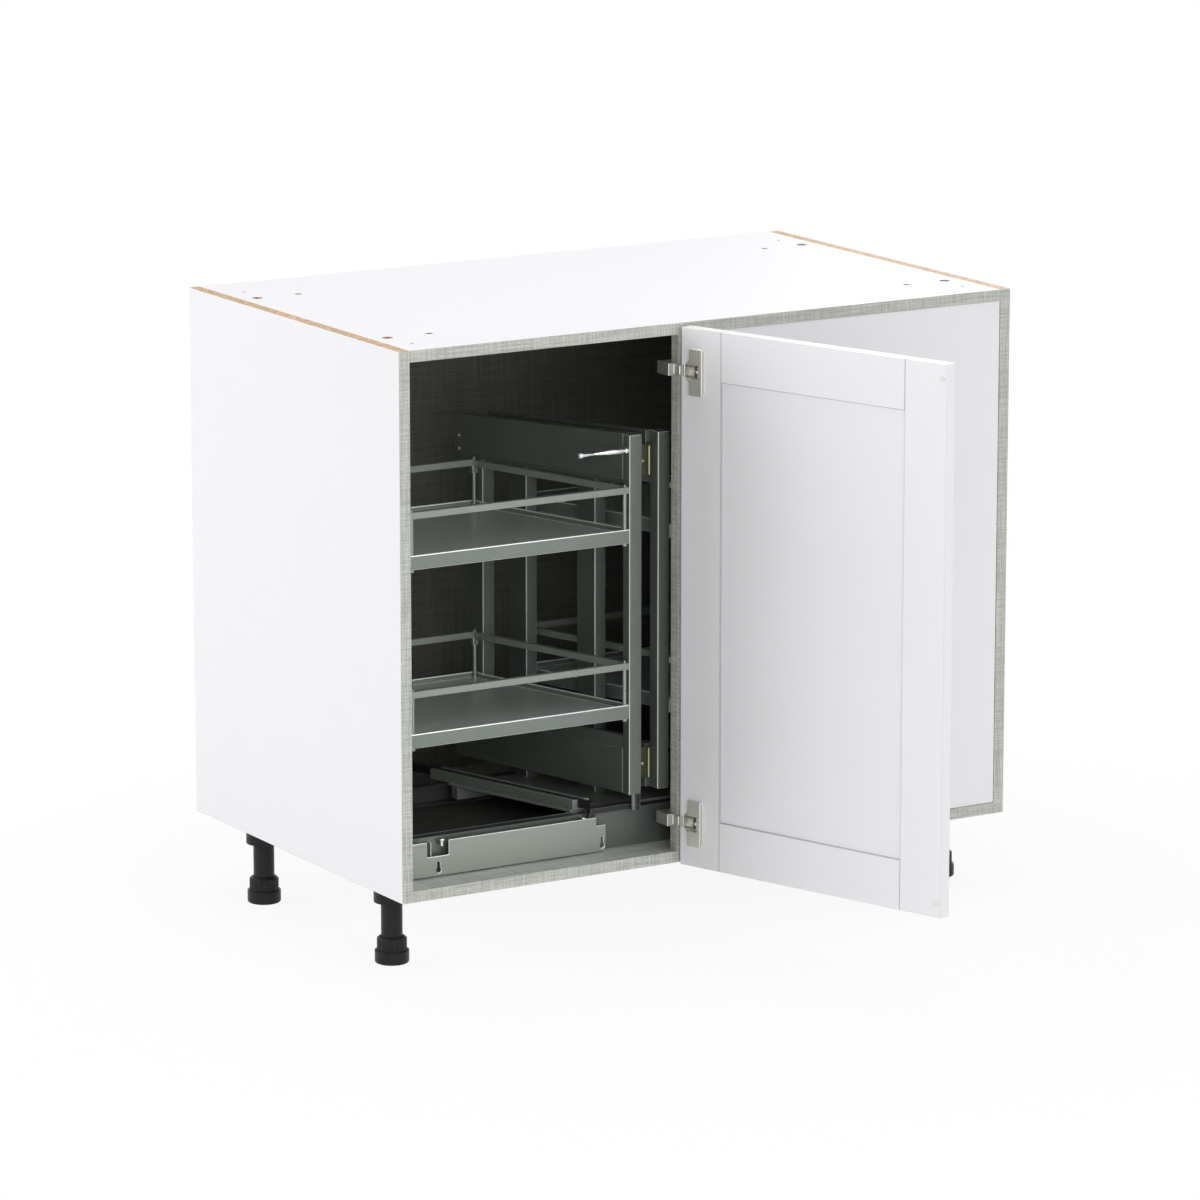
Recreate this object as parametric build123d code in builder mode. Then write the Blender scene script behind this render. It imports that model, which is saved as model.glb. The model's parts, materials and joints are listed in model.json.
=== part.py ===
from build123d import *
import math
import os

# Blind corner base cabinet with one shaker door and a slide-out corner fitting, in millimetres.
# +X is to the right, +Y to the back, +Z up. The origin is on the floor, at the middle of the
# footprint that the carcass takes up together with its open door.

# Carcass
WIDTH = 991
DEPTH = 608
HEIGHT = 764
BOARD = 16
EDGE_BAND = 1
LEG_HEIGHT = 112
OPENING = 423
STILE_FACE = 10.5
BACK_THICKNESS = 8
GROOVE_DEPTH = 8
RAIL_THICKNESS = 16
RAIL_HEIGHT = 90
BLIND_RECESS = 1.5
PANEL_GAP = 0.5
FIT = 0.1
DOWEL_RADIUS = 4
DOWEL_IN_SIDE = 11
DOWEL_IN_BOARD = 24
DOWEL_GAP = 1
DOWEL_FRONT = 70
DOWEL_FROM_BACK = 90

# Drilling in the top and bottom boards, measured from the outer sides, the front and the back
LEG_INSET = 41
LEG_FRONT = 105
LEG_FROM_BACK = 128
LEG_BORE_RADIUS = 7.5
LEG_BORE_DEPTH = 13
PLUG_OFFSET = 65
PLUG_RADIUS = 5
FIXING_HOLE_INSET = 48
FIXING_HOLE_FRONT = 50
FIXING_HOLE_FROM_BACK = 75
FIXING_HOLE_RADIUS = 3

# Legs
SOCKET_RADIUS = 25
SOCKET_HEIGHT = 25
SOCKET_BORE_DEPTH = 17
PLATE_THICKNESS = 3
PLATE_WIDTH = 24
BOSS_GAP = 1
TUBE_RADIUS = 15
TUBE_BORE_RADIUS = 12.5
TUBE_END = 29
COLLAR_RADIUS = 20
COLLAR_CHAMFER = 2.5
COLLAR_RIBS = 16
COLLAR_TOP = 38
RIB_WIDTH = 3.5
RIB_RISE = 0.8
PAD_RADIUS = 24
PAD_HEIGHT = 18
PAD_ROUNDING = 3
STEM_TOP = 66
LEG_PLAY = 0.4

# Door, which stands open in this pose
DOOR_ANGLE = 109
DOOR_THICKNESS = 19
DOOR_GAP = 2
DOOR_TOP_GAP = 4
DOOR_OVERLAP = 16
AXIS_FROM_EDGE = 5.9
STILE_WIDTH = 70
DOOR_PANEL_THICKNESS = 9
DOOR_PANEL_DROP = 2.5
DOOR_GROOVE = 8
DOOR_CHAMFER = 1
BUMPER_RADIUS = 4
BUMPER_THICKNESS = 1.6
BUMPER_INSET = 20

# Door hinges
HINGE_FROM_BOTTOM = 62
HINGE_FROM_TOP = 60
CUP_RADIUS = 17.5
CUP_DEPTH = 11.5
CUP_WALL = 1.2
CUP_FROM_EDGE = 22.5
FLANGE_WIDTH = 25
FLANGE_HEIGHT = 66
FLANGE_CORNER = 6
FLANGE_THICKNESS = 1.5
FLANGE_FROM_EDGE = 27.5
FLANGE_SCREW = 26
ARM_HALF_HEIGHT = 8.5
ARM_WIDTH = 15
ARM_FRONT = 0.5
ARM_SIDE_GAP = 0.6
ARM_THICKNESS = 10
ARM_REACH = 40
FINGER_HALF_HEIGHT = 6
FINGER_ROOT = 6
FINGER_THICKNESS = 3
FINGER_CLEARANCE = 0.5
FINGER_TIP = 172
FINGER_BEND = 148
FINGER_BACK = 140
FINGER_EASE = 1
HINGE_PLATE_X = 32
HINGE_PLATE_WIDTH = 24
HINGE_PLATE_HEIGHT = 48
HINGE_PLATE_CORNER = 4
HINGE_PLATE_THICKNESS = 3
HINGE_PLATE_SCREW = 16

# Wood screws, all of one size
SCREW_RADIUS = 1.75
SCREW_HEAD_RADIUS = 3.5
SCREW_HEAD = 1
SCREW_SINK = 0.9
SCREW_LENGTH = 10

# Fixed rails of the corner fitting, which lie along X on the cabinet floor
CHANNEL_RAIL_HEIGHT = 55
CHANNEL_RAIL_DEPTH = 18
SHEET = 1.5
SHELF_ABOVE_RUNNERS = 2
FRONT_RAIL = 62
RAIL_END_GAP = 1
RAIL_SCREW_LEFT = 140
RAIL_SCREW_MIDDLE = 480
RAIL_SCREW_FROM_RIGHT = 131

# Telescopic runners that carry the front carriage, and the cover that lies on them
RUNNER_LEFT = 72
RUNNER_FROM_CARRIAGE_END = 40
RUNNER_WIDTH = 26
RUNNER_HEIGHT = 21.5
RUNNER_FROM_RAIL = 2
RUNNER_FROM_BACK = 72
RUNNER_STEP = 4
RUNNER_PLAY = 0.4
RUNNER_LIP = 3
RUNNER_CUT_PLAY = 3
COVER_THICKNESS = 1.5
COVER_FROM_STILE = 19

# Front carriage
CARRIAGE_FACE = 48
CARRIAGE_SHEET = 3
CARRIAGE_HEIGHT = 49
CARRIAGE_LIFT = 2
CARRIAGE_SIDE_GAP = 4
CARRIAGE_FROM_PIVOT = 45
CARRIAGE_CORNER = 6
CARRIAGE_STEP_WIDTH = 15
CARRIAGE_STEP_DROP = 12
NOTCH_LEFT = 66
NOTCH_WIDTH = 34
NOTCH_DEPTH = 21
KEYHOLE_LEFT = 84
KEYHOLE_FROM_END = 6
KEYHOLE_RADIUS = 4
KEYHOLE_SLOT = 4
KEYHOLE_HEIGHT = 12
BUFFER_LEFT = 93
BUFFER_FROM_END = 32
BUFFER_RADIUS = 5.2
BUFFER_HEIGHT = 11
BUFFER_RISE = 2

# Pivot of the front unit
PIVOT_IN_POST_X = 13
PIVOT_IN_POST_Y = 7
PIVOT_RADIUS = 5
PIVOT_BORE_END = 1
PIVOT_ARM_THICKNESS = 8
PIVOT_ARM_DEPTH = 12
PIVOT_TAB_WIDTH = 10
PIVOT_TAB_HEIGHT = 23
PIVOT_TAB_INSET = 1
PIVOT_TAB_THICKNESS = 4
PIVOT_COLLAR_RADIUS = 8
PIVOT_ENGAGEMENT = 60
PIVOT_GAP = 0.3

# Slant of both frames and of the guide channel, in plan
SLANT = math.tan(math.radians(17))

# Front unit: a slanted frame with two trays on its left, with heights above the carcass bottom
FRAME_HIGH = 606
FRAME_ABOVE_GUIDE = 8
BEAM_HEIGHT = 64
FRONT_POST_FROM_STILE = 55
FRONT_POST_Y = 38
FRONT_POST_WIDTH = 20
FRONT_POST_DEPTH = 18
FRONT_BEAM_THICKNESS = 16
FRONT_BEAM_TAIL = 51
UPPER_FLANGE = 8
LOWER_FLANGE = 18
FLANGE_SETBACK = 2
FLANGE_DEPTH = 12
BACK_POST_Y = 310
BACK_POST_WIDTH = 19
BACK_POST_DEPTH = 51
BEAM_HIGH_TAPER = 12
BEAM_LOW_TAPER = 4
TRAY_SIDE_GAP = 7
TRAY_TAIL = 20
TRAY_LEVELS = (205, 454)
TRAY_NAMES = ("lower", "upper")
TRAY_RIM = 20
TRAY_WALL = 2
TRAY_FLOOR_DROP = 8
GALLERY_RISE = 70.5
GALLERY_HEIGHT = 9
GALLERY_WIDTH = 8
GALLERY_ROD = 2.8
ROD_FROM_TIP = 18
BACK_ROD_FROM_TIP = 40
ROD_FROM_SLANT = 1
KNOB_LENGTH = 78
KNOB_WAIST = 48
KNOB_FROM_TOP = 22
KNOB_ROOT_RADIUS = 6.5
KNOB_WAIST_RADIUS = 3
KNOB_TIP_RADIUS = 4.5

# Rear unit: a second slanted frame with two trays on its right, on a wheeled base
REAR_POST_OFFSET = 48
REAR_POST_SETBACK = 3
REAR_POST_WIDTH = 19
REAR_POST_DEPTH = 22
REAR_ABOVE_GUIDE = 10
REAR_BEAM_THICKNESS = 12
REAR_BEAM_TAIL = 15
UPRIGHT_WIDTH = 18
UPRIGHT_DEPTH = 49
UPRIGHT_BACK = 203
UPRIGHT_FROM_TRAY_BACK = 7
REAR_TRAY_OFFSET = 32.7
REAR_TRAY_SETBACK = 1
REAR_TRAY_BACK = 335
REAR_TRAY_FROM_SIDE = 50
WEDGE_DEPTH = 22
END_POST_FRONT = 100
END_POST_FROM_TRAY_BACK = 73
END_POST_WIDTH = 18
END_POST_DEPTH = 28
REAR_RAIL_FROM_TRAY_BACK = 23
BASE_ABOVE_RAILS = 1.5
BASE_PLATE_THICKNESS = 3
BASE_PLATE_MARGIN = 2
BASE_FROM_RAILS = 4
CROSS_BAR_WIDTH = 16
CROSS_BAR_BELOW_AXLE = 5.6
GUIDE_WIDTH = 26
GUIDE_HEIGHT = 14.5
GUIDE_GROOVE = 11
GUIDE_FLOOR = 3
GUIDE_FROM_RAIL = 2
GUIDE_TAIL = 15
GUIDE_FROM_POST = 52
BLADE_WIDTH = 10
BLADE_BELOW_GUIDE = 1
BLADE_FROM_BACK = 24
WHEEL_WIDTH = 8
WHEEL_INSET = 2.5
WHEEL_PLAY = 0.6
LEFT_WHEELS_FROM_POST = 32
RIGHT_WHEELS_FROM_END = 55
AXLE_RADIUS = 3
BLOCK_HEIGHT = 45
BLOCK_DEPTH = 7.5
BLOCK_CLEARANCE = 0.5
BLOCK_ABOVE_FRAME_LOW = 17
BLOCK_BELOW_FRAME_HIGH = 63

# Values that follow from those above
INNER_LEFT = BOARD
INNER_RIGHT = WIDTH - BOARD
STILE_LEFT = INNER_LEFT + OPENING
STILE_RIGHT = STILE_LEFT + STILE_FACE
FLOOR = LEG_HEIGHT + BOARD
CARCASS_TOP = LEG_HEIGHT + HEIGHT
CEILING = CARCASS_TOP - BOARD
BACK_FACE = DEPTH - RAIL_THICKNESS
BACK_FRONT = BACK_FACE - BACK_THICKNESS
BLIND_BACK = BLIND_RECESS + BOARD
HALF_DOOR = DOOR_THICKNESS / 2
DOOR_WIDTH = STILE_LEFT + DOOR_OVERLAP
DOOR_LOW = LEG_HEIGHT
DOOR_HIGH = CARCASS_TOP - DOOR_TOP_GAP
HINGE_HEIGHTS = (DOOR_LOW + HINGE_FROM_BOTTOM, DOOR_HIGH - HINGE_FROM_TOP)
AXIS_X = DOOR_WIDTH - AXIS_FROM_EDGE
AXIS_Y = -DOOR_GAP - HALF_DOOR
LEG_SPOTS = [(x, y) for x in (LEG_INSET, WIDTH - LEG_INSET) for y in (LEG_FRONT, DEPTH - LEG_FROM_BACK)]
LEG_NAMES = ["front_left", "back_left", "front_right", "back_right"]

# Plan of the corner fitting
FRONT_POST_X = STILE_LEFT - FRONT_POST_FROM_STILE
FRONT_POST_BACK = FRONT_POST_Y + FRONT_POST_DEPTH
PIVOT_X = FRONT_POST_X + PIVOT_IN_POST_X
PIVOT_Y = FRONT_POST_Y + PIVOT_IN_POST_Y
TRAY_SWING_RADIUS = PIVOT_X - INNER_LEFT - TRAY_SIDE_GAP
TRAY_BACK = BACK_POST_Y + TRAY_TAIL
REAR_POST_X = FRONT_POST_X + REAR_POST_OFFSET
REAR_POST_Y = FRONT_POST_Y + REAR_POST_SETBACK
REAR_POST_BACK = REAR_POST_Y + REAR_POST_DEPTH
REAR_TRAY_X = REAR_POST_X + REAR_TRAY_OFFSET
REAR_TRAY_FRONT = REAR_POST_Y + REAR_TRAY_SETBACK
REAR_TRAY_RIGHT = INNER_RIGHT - REAR_TRAY_FROM_SIDE
REAR_RAIL = REAR_TRAY_BACK - REAR_RAIL_FROM_TRAY_BACK
RAIL_SCREWS = (RAIL_SCREW_LEFT, RAIL_SCREW_MIDDLE, WIDTH - RAIL_SCREW_FROM_RIGHT)
CARRIAGE_LEFT = INNER_LEFT + CARRIAGE_SIDE_GAP
CARRIAGE_RIGHT = PIVOT_X - CARRIAGE_FROM_PIVOT
RUNNERS = (RUNNER_LEFT, CARRIAGE_RIGHT - RUNNER_FROM_CARRIAGE_END)
RUNNER_FRONT = FRONT_RAIL + CHANNEL_RAIL_DEPTH + RUNNER_FROM_RAIL
RUNNER_BACK = BACK_FRONT - RUNNER_FROM_BACK
GUIDE_X = FRONT_POST_X - GUIDE_FROM_POST
GUIDE_FRONT = FRONT_RAIL + CHANNEL_RAIL_DEPTH + GUIDE_FROM_RAIL
GUIDE_BACK = REAR_RAIL + CHANNEL_RAIL_DEPTH + GUIDE_TAIL
BASE_FRONT = FRONT_RAIL + CHANNEL_RAIL_DEPTH + BASE_FROM_RAILS
BASE_BACK = REAR_RAIL - BASE_FROM_RAILS
UPRIGHT_BACKS = (UPRIGHT_BACK, REAR_TRAY_BACK - UPRIGHT_FROM_TRAY_BACK)
END_POST_FRONTS = (END_POST_FRONT, REAR_TRAY_BACK - END_POST_FROM_TRAY_BACK)
WHEELSETS = {"left": REAR_POST_X - LEFT_WHEELS_FROM_POST, "right": REAR_TRAY_RIGHT - RIGHT_WHEELS_FROM_END}

# Levels of the corner fitting
RUNNER_TOP = FLOOR + RUNNER_HEIGHT
SHELF_TOP = RUNNER_TOP + RUNNER_CUT_PLAY + SHELF_ABOVE_RUNNERS + SHEET
RAIL_TOP = FLOOR + CHANNEL_RAIL_HEIGHT
CARRIAGE_LOW = FLOOR + CARRIAGE_LIFT
CARRIAGE_TOP = CARRIAGE_LOW + CARRIAGE_HEIGHT
BASE_TOP = RAIL_TOP + BASE_ABOVE_RAILS
PLATE_LOW = BASE_TOP - BASE_PLATE_THICKNESS
GUIDE_TOP = BASE_TOP + GUIDE_HEIGHT
ARM_TOP = BASE_TOP + PIVOT_ARM_THICKNESS
BLADE_LOW = BASE_TOP + GUIDE_FLOOR + PIVOT_GAP
BLADE_TOP = GUIDE_TOP - BLADE_BELOW_GUIDE
WHEEL_RADIUS = (RAIL_TOP - SHEET - SHELF_TOP - PIVOT_GAP - WHEEL_PLAY) / 2
WHEEL_LEVEL = SHELF_TOP + WHEEL_RADIUS + PIVOT_GAP
BAR_LOW = WHEEL_LEVEL - CROSS_BAR_BELOW_AXLE
FRAME_BOTTOM = GUIDE_TOP + FRAME_ABOVE_GUIDE
REAR_BOTTOM = GUIDE_TOP + REAR_ABOVE_GUIDE
FRAME_TOP = LEG_HEIGHT + FRAME_HIGH
HIGH_BEAM = FRAME_TOP - BEAM_HEIGHT
LOW_BEAM_TOP = FRAME_BOTTOM + BEAM_HEIGHT
BLOCK_LEVELS = (FRAME_BOTTOM + BLOCK_ABOVE_FRAME_LOW, FRAME_TOP - BLOCK_BELOW_FRAME_HIGH)

os.makedirs("parts", exist_ok=True)


def turn(u, v, degrees=DOOR_ANGLE):
    """A plan vector turned counterclockwise, seen from above."""
    angle = math.radians(degrees)
    return u * math.cos(angle) - v * math.sin(angle), u * math.sin(angle) + v * math.cos(angle)


# The corner of the open door reaches out to this depth, which places the origin
DOOR_TIP = AXIS_Y + turn(AXIS_FROM_EDGE - DOOR_WIDTH, HALF_DOOR - DOOR_CHAMFER)[1]
FRONT_Y = -(DOOR_TIP + DEPTH) / 2


def level(z):
    """A level plane, whose own X runs from the left side and whose Y runs from the carcass front."""
    return Plane(origin=(-WIDTH / 2, FRONT_Y, z))


def wall(y):
    """An upright plane across the cabinet that faces forwards, with X from the left side and Y up."""
    return Plane(origin=(-WIDTH / 2, FRONT_Y + y, 0), x_dir=(1, 0, 0), z_dir=(0, -1, 0))


def side(x):
    """An upright plane along the cabinet that faces right, with X from the front and Y up."""
    return Plane(origin=(-WIDTH / 2 + x, FRONT_Y, 0), x_dir=(0, 1, 0), z_dir=(1, 0, 0))


def door_point(v, z=0):
    """A point on the hinge axis, moved across the door's thickness."""
    along, across = turn(0, v)
    return (-WIDTH / 2 + AXIS_X + along, FRONT_Y + AXIS_Y + across, z)


def door_level(z):
    """A level plane on the hinge axis: X runs to the hinge edge and Y to the inner face."""
    return Plane(origin=door_point(0, z), x_dir=(*turn(1, 0), 0), z_dir=(0, 0, 1))


def door_wall(v):
    """A plane along the door that faces its outer side, with X to the hinge edge and Y up."""
    return Plane(origin=door_point(v), x_dir=(*turn(1, 0), 0), z_dir=(*turn(0, -1), 0))


def patch(x0, x1, y0, y1, mode=Mode.ADD):
    """A rectangle between the given limits, in the current sketch."""
    with Locations(((x0 + x1) / 2, (y0 + y1) / 2)):
        Rectangle(x1 - x0, y1 - y0, mode=mode)


def outline(*points):
    """A polygon through the given points, in the current sketch."""
    Polygon(*points, align=None)


def front_line(y):
    """X of the front frame's left face at a given depth behind its front post."""
    return FRONT_POST_X - SLANT * (y - FRONT_POST_BACK)


def rear_line(y):
    """X of the rear unit frame's left face at a given depth."""
    return REAR_POST_X - SLANT * (y - REAR_POST_Y)


def guide_line(y):
    """X of the guide channel's middle at a given depth."""
    return GUIDE_X - SLANT * (y - GUIDE_FRONT)


def save(piece, label):
    """Name a finished piece and write its file."""
    piece.part.label = label
    export_step(piece.part, f"parts/{label}.step")


# Carcass
def plug_x(leg_x):
    """X of a leg's plug, which lies on the inner side of the leg."""
    return leg_x + PLUG_OFFSET if leg_x < WIDTH / 2 else leg_x - PLUG_OFFSET


def drill_leg_bores(z, depth):
    """The blind bores for the legs' bosses and plugs, in the current board."""
    with BuildSketch(level(z)) as bores:
        with Locations(*LEG_SPOTS):
            Circle(LEG_BORE_RADIUS)
        with Locations(*[(plug_x(x), y) for x, y in LEG_SPOTS]):
            Circle(PLUG_RADIUS)
    extrude(bores.sketch, amount=depth, mode=Mode.SUBTRACT)


def cut_back_groove(x, length, low, high):
    """The groove that holds the back panel, along the current board."""
    with BuildSketch(side(x)) as groove:
        patch(BACK_FRONT - FIT, BACK_FACE + FIT, low, high)
    extrude(groove.sketch, amount=length, mode=Mode.SUBTRACT)


def dowel_ends(x):
    """The dowels' round sections where a side meets the horizontal boards."""
    depths = (DOWEL_FRONT, DEPTH / 2, DEPTH - DOWEL_FROM_BACK)
    heights = (LEG_HEIGHT + BOARD / 2, CARCASS_TOP - BOARD / 2)
    with BuildSketch(side(x)) as sections:
        with Locations(*[(y, z) for y in depths for z in heights]):
            Circle(DOWEL_RADIUS)
    return sections.sketch


def make_side(x0, x1, inner_face, outwards):
    """A full-height side board with dowel bores and a groove in its inner face."""
    with BuildPart() as board:
        with BuildSketch(level(LEG_HEIGHT)):
            patch(x0, x1, EDGE_BAND, DEPTH)
        extrude(amount=HEIGHT)
        cut_back_groove(inner_face, outwards * GROOVE_DEPTH, FLOOR - GROOVE_DEPTH, CEILING + GROOVE_DEPTH)
        extrude(dowel_ends(inner_face), amount=outwards * DOWEL_IN_SIDE, mode=Mode.SUBTRACT)
    return board


save(make_side(0, BOARD, INNER_LEFT, -1), "left_side")
save(make_side(INNER_RIGHT, WIDTH, INNER_RIGHT, 1), "right_side")


def make_horizontal(low, groove_low):
    """A top or bottom board between the sides, with dowel bores and a groove for the back."""
    with BuildPart() as board:
        with BuildSketch(level(low)):
            patch(INNER_LEFT, INNER_RIGHT, EDGE_BAND, DEPTH)
        extrude(amount=BOARD)
        cut_back_groove(INNER_LEFT, INNER_RIGHT - INNER_LEFT, groove_low, groove_low + GROOVE_DEPTH)
        extrude(dowel_ends(INNER_LEFT), amount=DOWEL_IN_BOARD, mode=Mode.SUBTRACT)
        extrude(dowel_ends(INNER_RIGHT), amount=-DOWEL_IN_BOARD, mode=Mode.SUBTRACT)
    return board


def rail_screw_spots():
    """Plan positions of the screws that hold the channel rails to the cabinet floor."""
    middles = [front + CHANNEL_RAIL_DEPTH / 2 for front in (FRONT_RAIL, REAR_RAIL)]
    return [(x, y) for x in RAIL_SCREWS for y in middles]


with BuildPart() as top_panel:
    add(make_horizontal(CEILING, CEILING).part)
    drill_leg_bores(CARCASS_TOP, -LEG_BORE_DEPTH)
    with BuildSketch(level(CEILING)):
        with Locations(*[(x, y) for x in (FIXING_HOLE_INSET, WIDTH - FIXING_HOLE_INSET)
                         for y in (FIXING_HOLE_FRONT, DEPTH - FIXING_HOLE_FROM_BACK)]):
            Circle(FIXING_HOLE_RADIUS)
    extrude(amount=BOARD, mode=Mode.SUBTRACT)
save(top_panel, "top_panel")

with BuildPart() as bottom_panel:
    add(make_horizontal(LEG_HEIGHT, FLOOR - GROOVE_DEPTH).part)
    drill_leg_bores(LEG_HEIGHT, LEG_BORE_DEPTH)
    with BuildSketch(level(FLOOR)):
        with Locations(*rail_screw_spots()):
            Circle(SCREW_RADIUS)
    extrude(amount=-SCREW_LENGTH, mode=Mode.SUBTRACT)
save(bottom_panel, "bottom_panel")

with BuildPart() as carcass_dowels:
    for x, inwards in ((INNER_LEFT, 1), (INNER_RIGHT, -1)):
        extrude(dowel_ends(x), amount=inwards * (DOWEL_IN_BOARD - DOWEL_GAP))
        extrude(dowel_ends(x), amount=-inwards * (DOWEL_IN_SIDE - DOWEL_GAP))
save(carcass_dowels, "carcass_dowels")

with BuildPart() as back_panel:
    reach = GROOVE_DEPTH - PANEL_GAP
    with BuildSketch(wall(BACK_FACE)):
        patch(INNER_LEFT - reach, INNER_RIGHT + reach, FLOOR - reach, CEILING + reach)
    extrude(amount=BACK_THICKNESS)
save(back_panel, "back_panel")

# Two rails behind the back panel, through which the cabinet is screwed to a wall
with BuildPart() as back_rails:
    with BuildSketch(wall(DEPTH)):
        patch(INNER_LEFT, INNER_RIGHT, CEILING - RAIL_HEIGHT, CEILING)
        patch(INNER_LEFT, INNER_RIGHT, FLOOR, FLOOR + RAIL_HEIGHT)
    extrude(amount=RAIL_THICKNESS)
save(back_rails, "back_rails")

with BuildPart() as centre_stile:
    with BuildSketch(level(FLOOR)):
        patch(STILE_LEFT, STILE_RIGHT, EDGE_BAND, BLIND_BACK)
    extrude(amount=CEILING - FLOOR)
save(centre_stile, "centre_stile")

PLATE_SCREWS = [(STILE_LEFT + HINGE_PLATE_X, z + dz)
                for z in HINGE_HEIGHTS for dz in (-HINGE_PLATE_SCREW, HINGE_PLATE_SCREW)]
with BuildPart() as blind_panel:
    with BuildSketch(wall(BLIND_BACK)):
        patch(STILE_RIGHT + PANEL_GAP, INNER_RIGHT - PANEL_GAP, FLOOR + PANEL_GAP, CEILING - PANEL_GAP)
    extrude(amount=BOARD)
    with BuildSketch(wall(BLIND_BACK)):
        with Locations(*PLATE_SCREWS):
            Circle(SCREW_RADIUS)
    extrude(amount=SCREW_LENGTH, mode=Mode.SUBTRACT)
save(blind_panel, "blind_panel")

# The uprights' bands run full height, and the others run between them
with BuildPart() as edge_bands:
    with BuildSketch(wall(EDGE_BAND)):
        patch(0, BOARD, LEG_HEIGHT, CARCASS_TOP)
        patch(INNER_RIGHT, WIDTH, LEG_HEIGHT, CARCASS_TOP)
        for low in (LEG_HEIGHT, CEILING):
            patch(INNER_LEFT + FIT, INNER_RIGHT - FIT, low, low + BOARD)
        patch(STILE_LEFT, STILE_RIGHT, FLOOR + FIT, CEILING - FIT)
    extrude(amount=EDGE_BAND)
save(edge_bands, "edge_bands")

# Legs: a socket under the bottom board, a tube in it, and a foot that screws in and out
SOCKET_LOW = LEG_HEIGHT - SOCKET_HEIGHT
with BuildPart() as leg_sockets:
    with BuildSketch(level(SOCKET_LOW)):
        with Locations(*LEG_SPOTS):
            Circle(SOCKET_RADIUS)
    extrude(amount=SOCKET_HEIGHT)
    with BuildSketch(level(LEG_HEIGHT)):
        with Locations(*[((x + plug_x(x)) / 2, y) for x, y in LEG_SPOTS]):
            SlotCenterToCenter(PLUG_OFFSET, PLATE_WIDTH)
    extrude(amount=-PLATE_THICKNESS)
    with BuildSketch(level(LEG_HEIGHT)):
        with Locations(*LEG_SPOTS):
            Circle(LEG_BORE_RADIUS - FIT)
        with Locations(*[(plug_x(x), y) for x, y in LEG_SPOTS]):
            Circle(PLUG_RADIUS - FIT)
    extrude(amount=LEG_BORE_DEPTH - BOSS_GAP)
    with BuildSketch(level(SOCKET_LOW)):
        with Locations(*LEG_SPOTS):
            Circle(TUBE_RADIUS + FIT)
    extrude(amount=SOCKET_BORE_DEPTH, mode=Mode.SUBTRACT)
save(leg_sockets, "leg_sockets")

with BuildPart() as leg_tubes:
    with BuildSketch(level(TUBE_END)):
        with Locations(*LEG_SPOTS):
            Circle(TUBE_RADIUS)
            Circle(TUBE_BORE_RADIUS, mode=Mode.SUBTRACT)
    extrude(amount=SOCKET_LOW + SOCKET_BORE_DEPTH - TUBE_END)
save(leg_tubes, "leg_tubes")


def make_foot(x, y):
    """A foot: a round pad, a ribbed collar to turn it by, and the stem inside the tube."""
    with BuildPart() as foot:
        with Locations(level(PAD_HEIGHT) * Location((x, y, 0))):
            Cylinder(COLLAR_RADIUS, COLLAR_TOP - PAD_HEIGHT, align=(Align.CENTER, Align.CENTER, Align.MIN))
        chamfer(foot.edges().group_by(Axis.Z)[-1], length=COLLAR_CHAMFER)
        with BuildSketch(level(PAD_HEIGHT)):
            with Locations((x, y)):
                with PolarLocations(COLLAR_RADIUS + RIB_RISE - RIB_WIDTH / 2, COLLAR_RIBS):
                    Rectangle(RIB_WIDTH, RIB_WIDTH)
        extrude(amount=COLLAR_TOP - PAD_HEIGHT - COLLAR_CHAMFER)
        with BuildSketch(level(PAD_HEIGHT)):
            with Locations((x, y)):
                Circle(TUBE_RADIUS + LEG_PLAY)
        extrude(amount=COLLAR_TOP - PAD_HEIGHT, mode=Mode.SUBTRACT)
        with BuildSketch(level(PAD_HEIGHT)):
            with Locations((x, y)):
                Circle(TUBE_BORE_RADIUS - LEG_PLAY)
        extrude(amount=STEM_TOP - PAD_HEIGHT)
        with BuildSketch(level(0)):
            with Locations((x, y)):
                Circle(PAD_RADIUS)
        extrude(amount=PAD_HEIGHT)
        fillet(foot.edges().group_by(Axis.Z)[0], radius=PAD_ROUNDING)
    return foot


for name, (x, y) in zip(LEG_NAMES, LEG_SPOTS):
    save(make_foot(x, y), f"foot_{name}")

# Door: two stiles, two rails and a thin panel held in their grooves
HINGE_EDGE = AXIS_FROM_EDGE
FREE_EDGE = AXIS_FROM_EDGE - DOOR_WIDTH
HINGE_STILE = HINGE_EDGE - STILE_WIDTH
LOCK_STILE = FREE_EDGE + STILE_WIDTH
PANEL_IN = HALF_DOOR - DOOR_PANEL_DROP
PANEL_OUT = PANEL_IN - DOOR_PANEL_THICKNESS
GROOVE_SPACE = DOOR_GROOVE + PANEL_GAP
CUP_U = HINGE_EDGE - CUP_FROM_EDGE
FLANGE_U = HINGE_EDGE - FLANGE_FROM_EDGE
FLANGE_SCREWS = [(FLANGE_U, z + dz) for z in HINGE_HEIGHTS for dz in (-FLANGE_SCREW, FLANGE_SCREW)]


def door_stile(u0, u1, groove, outer_corners):
    """An upright bar of the door with eased outer corners and a groove for the panel."""
    with BuildPart() as stile:
        with BuildSketch(door_level(DOOR_LOW)) as section:
            patch(u0, u1, -HALF_DOOR, HALF_DOOR)
            chamfer(section.vertices().group_by(Axis.X)[outer_corners], length=DOOR_CHAMFER)
            patch(groove, groove + GROOVE_SPACE, PANEL_OUT - FIT, PANEL_IN + FIT, mode=Mode.SUBTRACT)
        extrude(amount=DOOR_HIGH - DOOR_LOW)
    return stile


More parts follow.
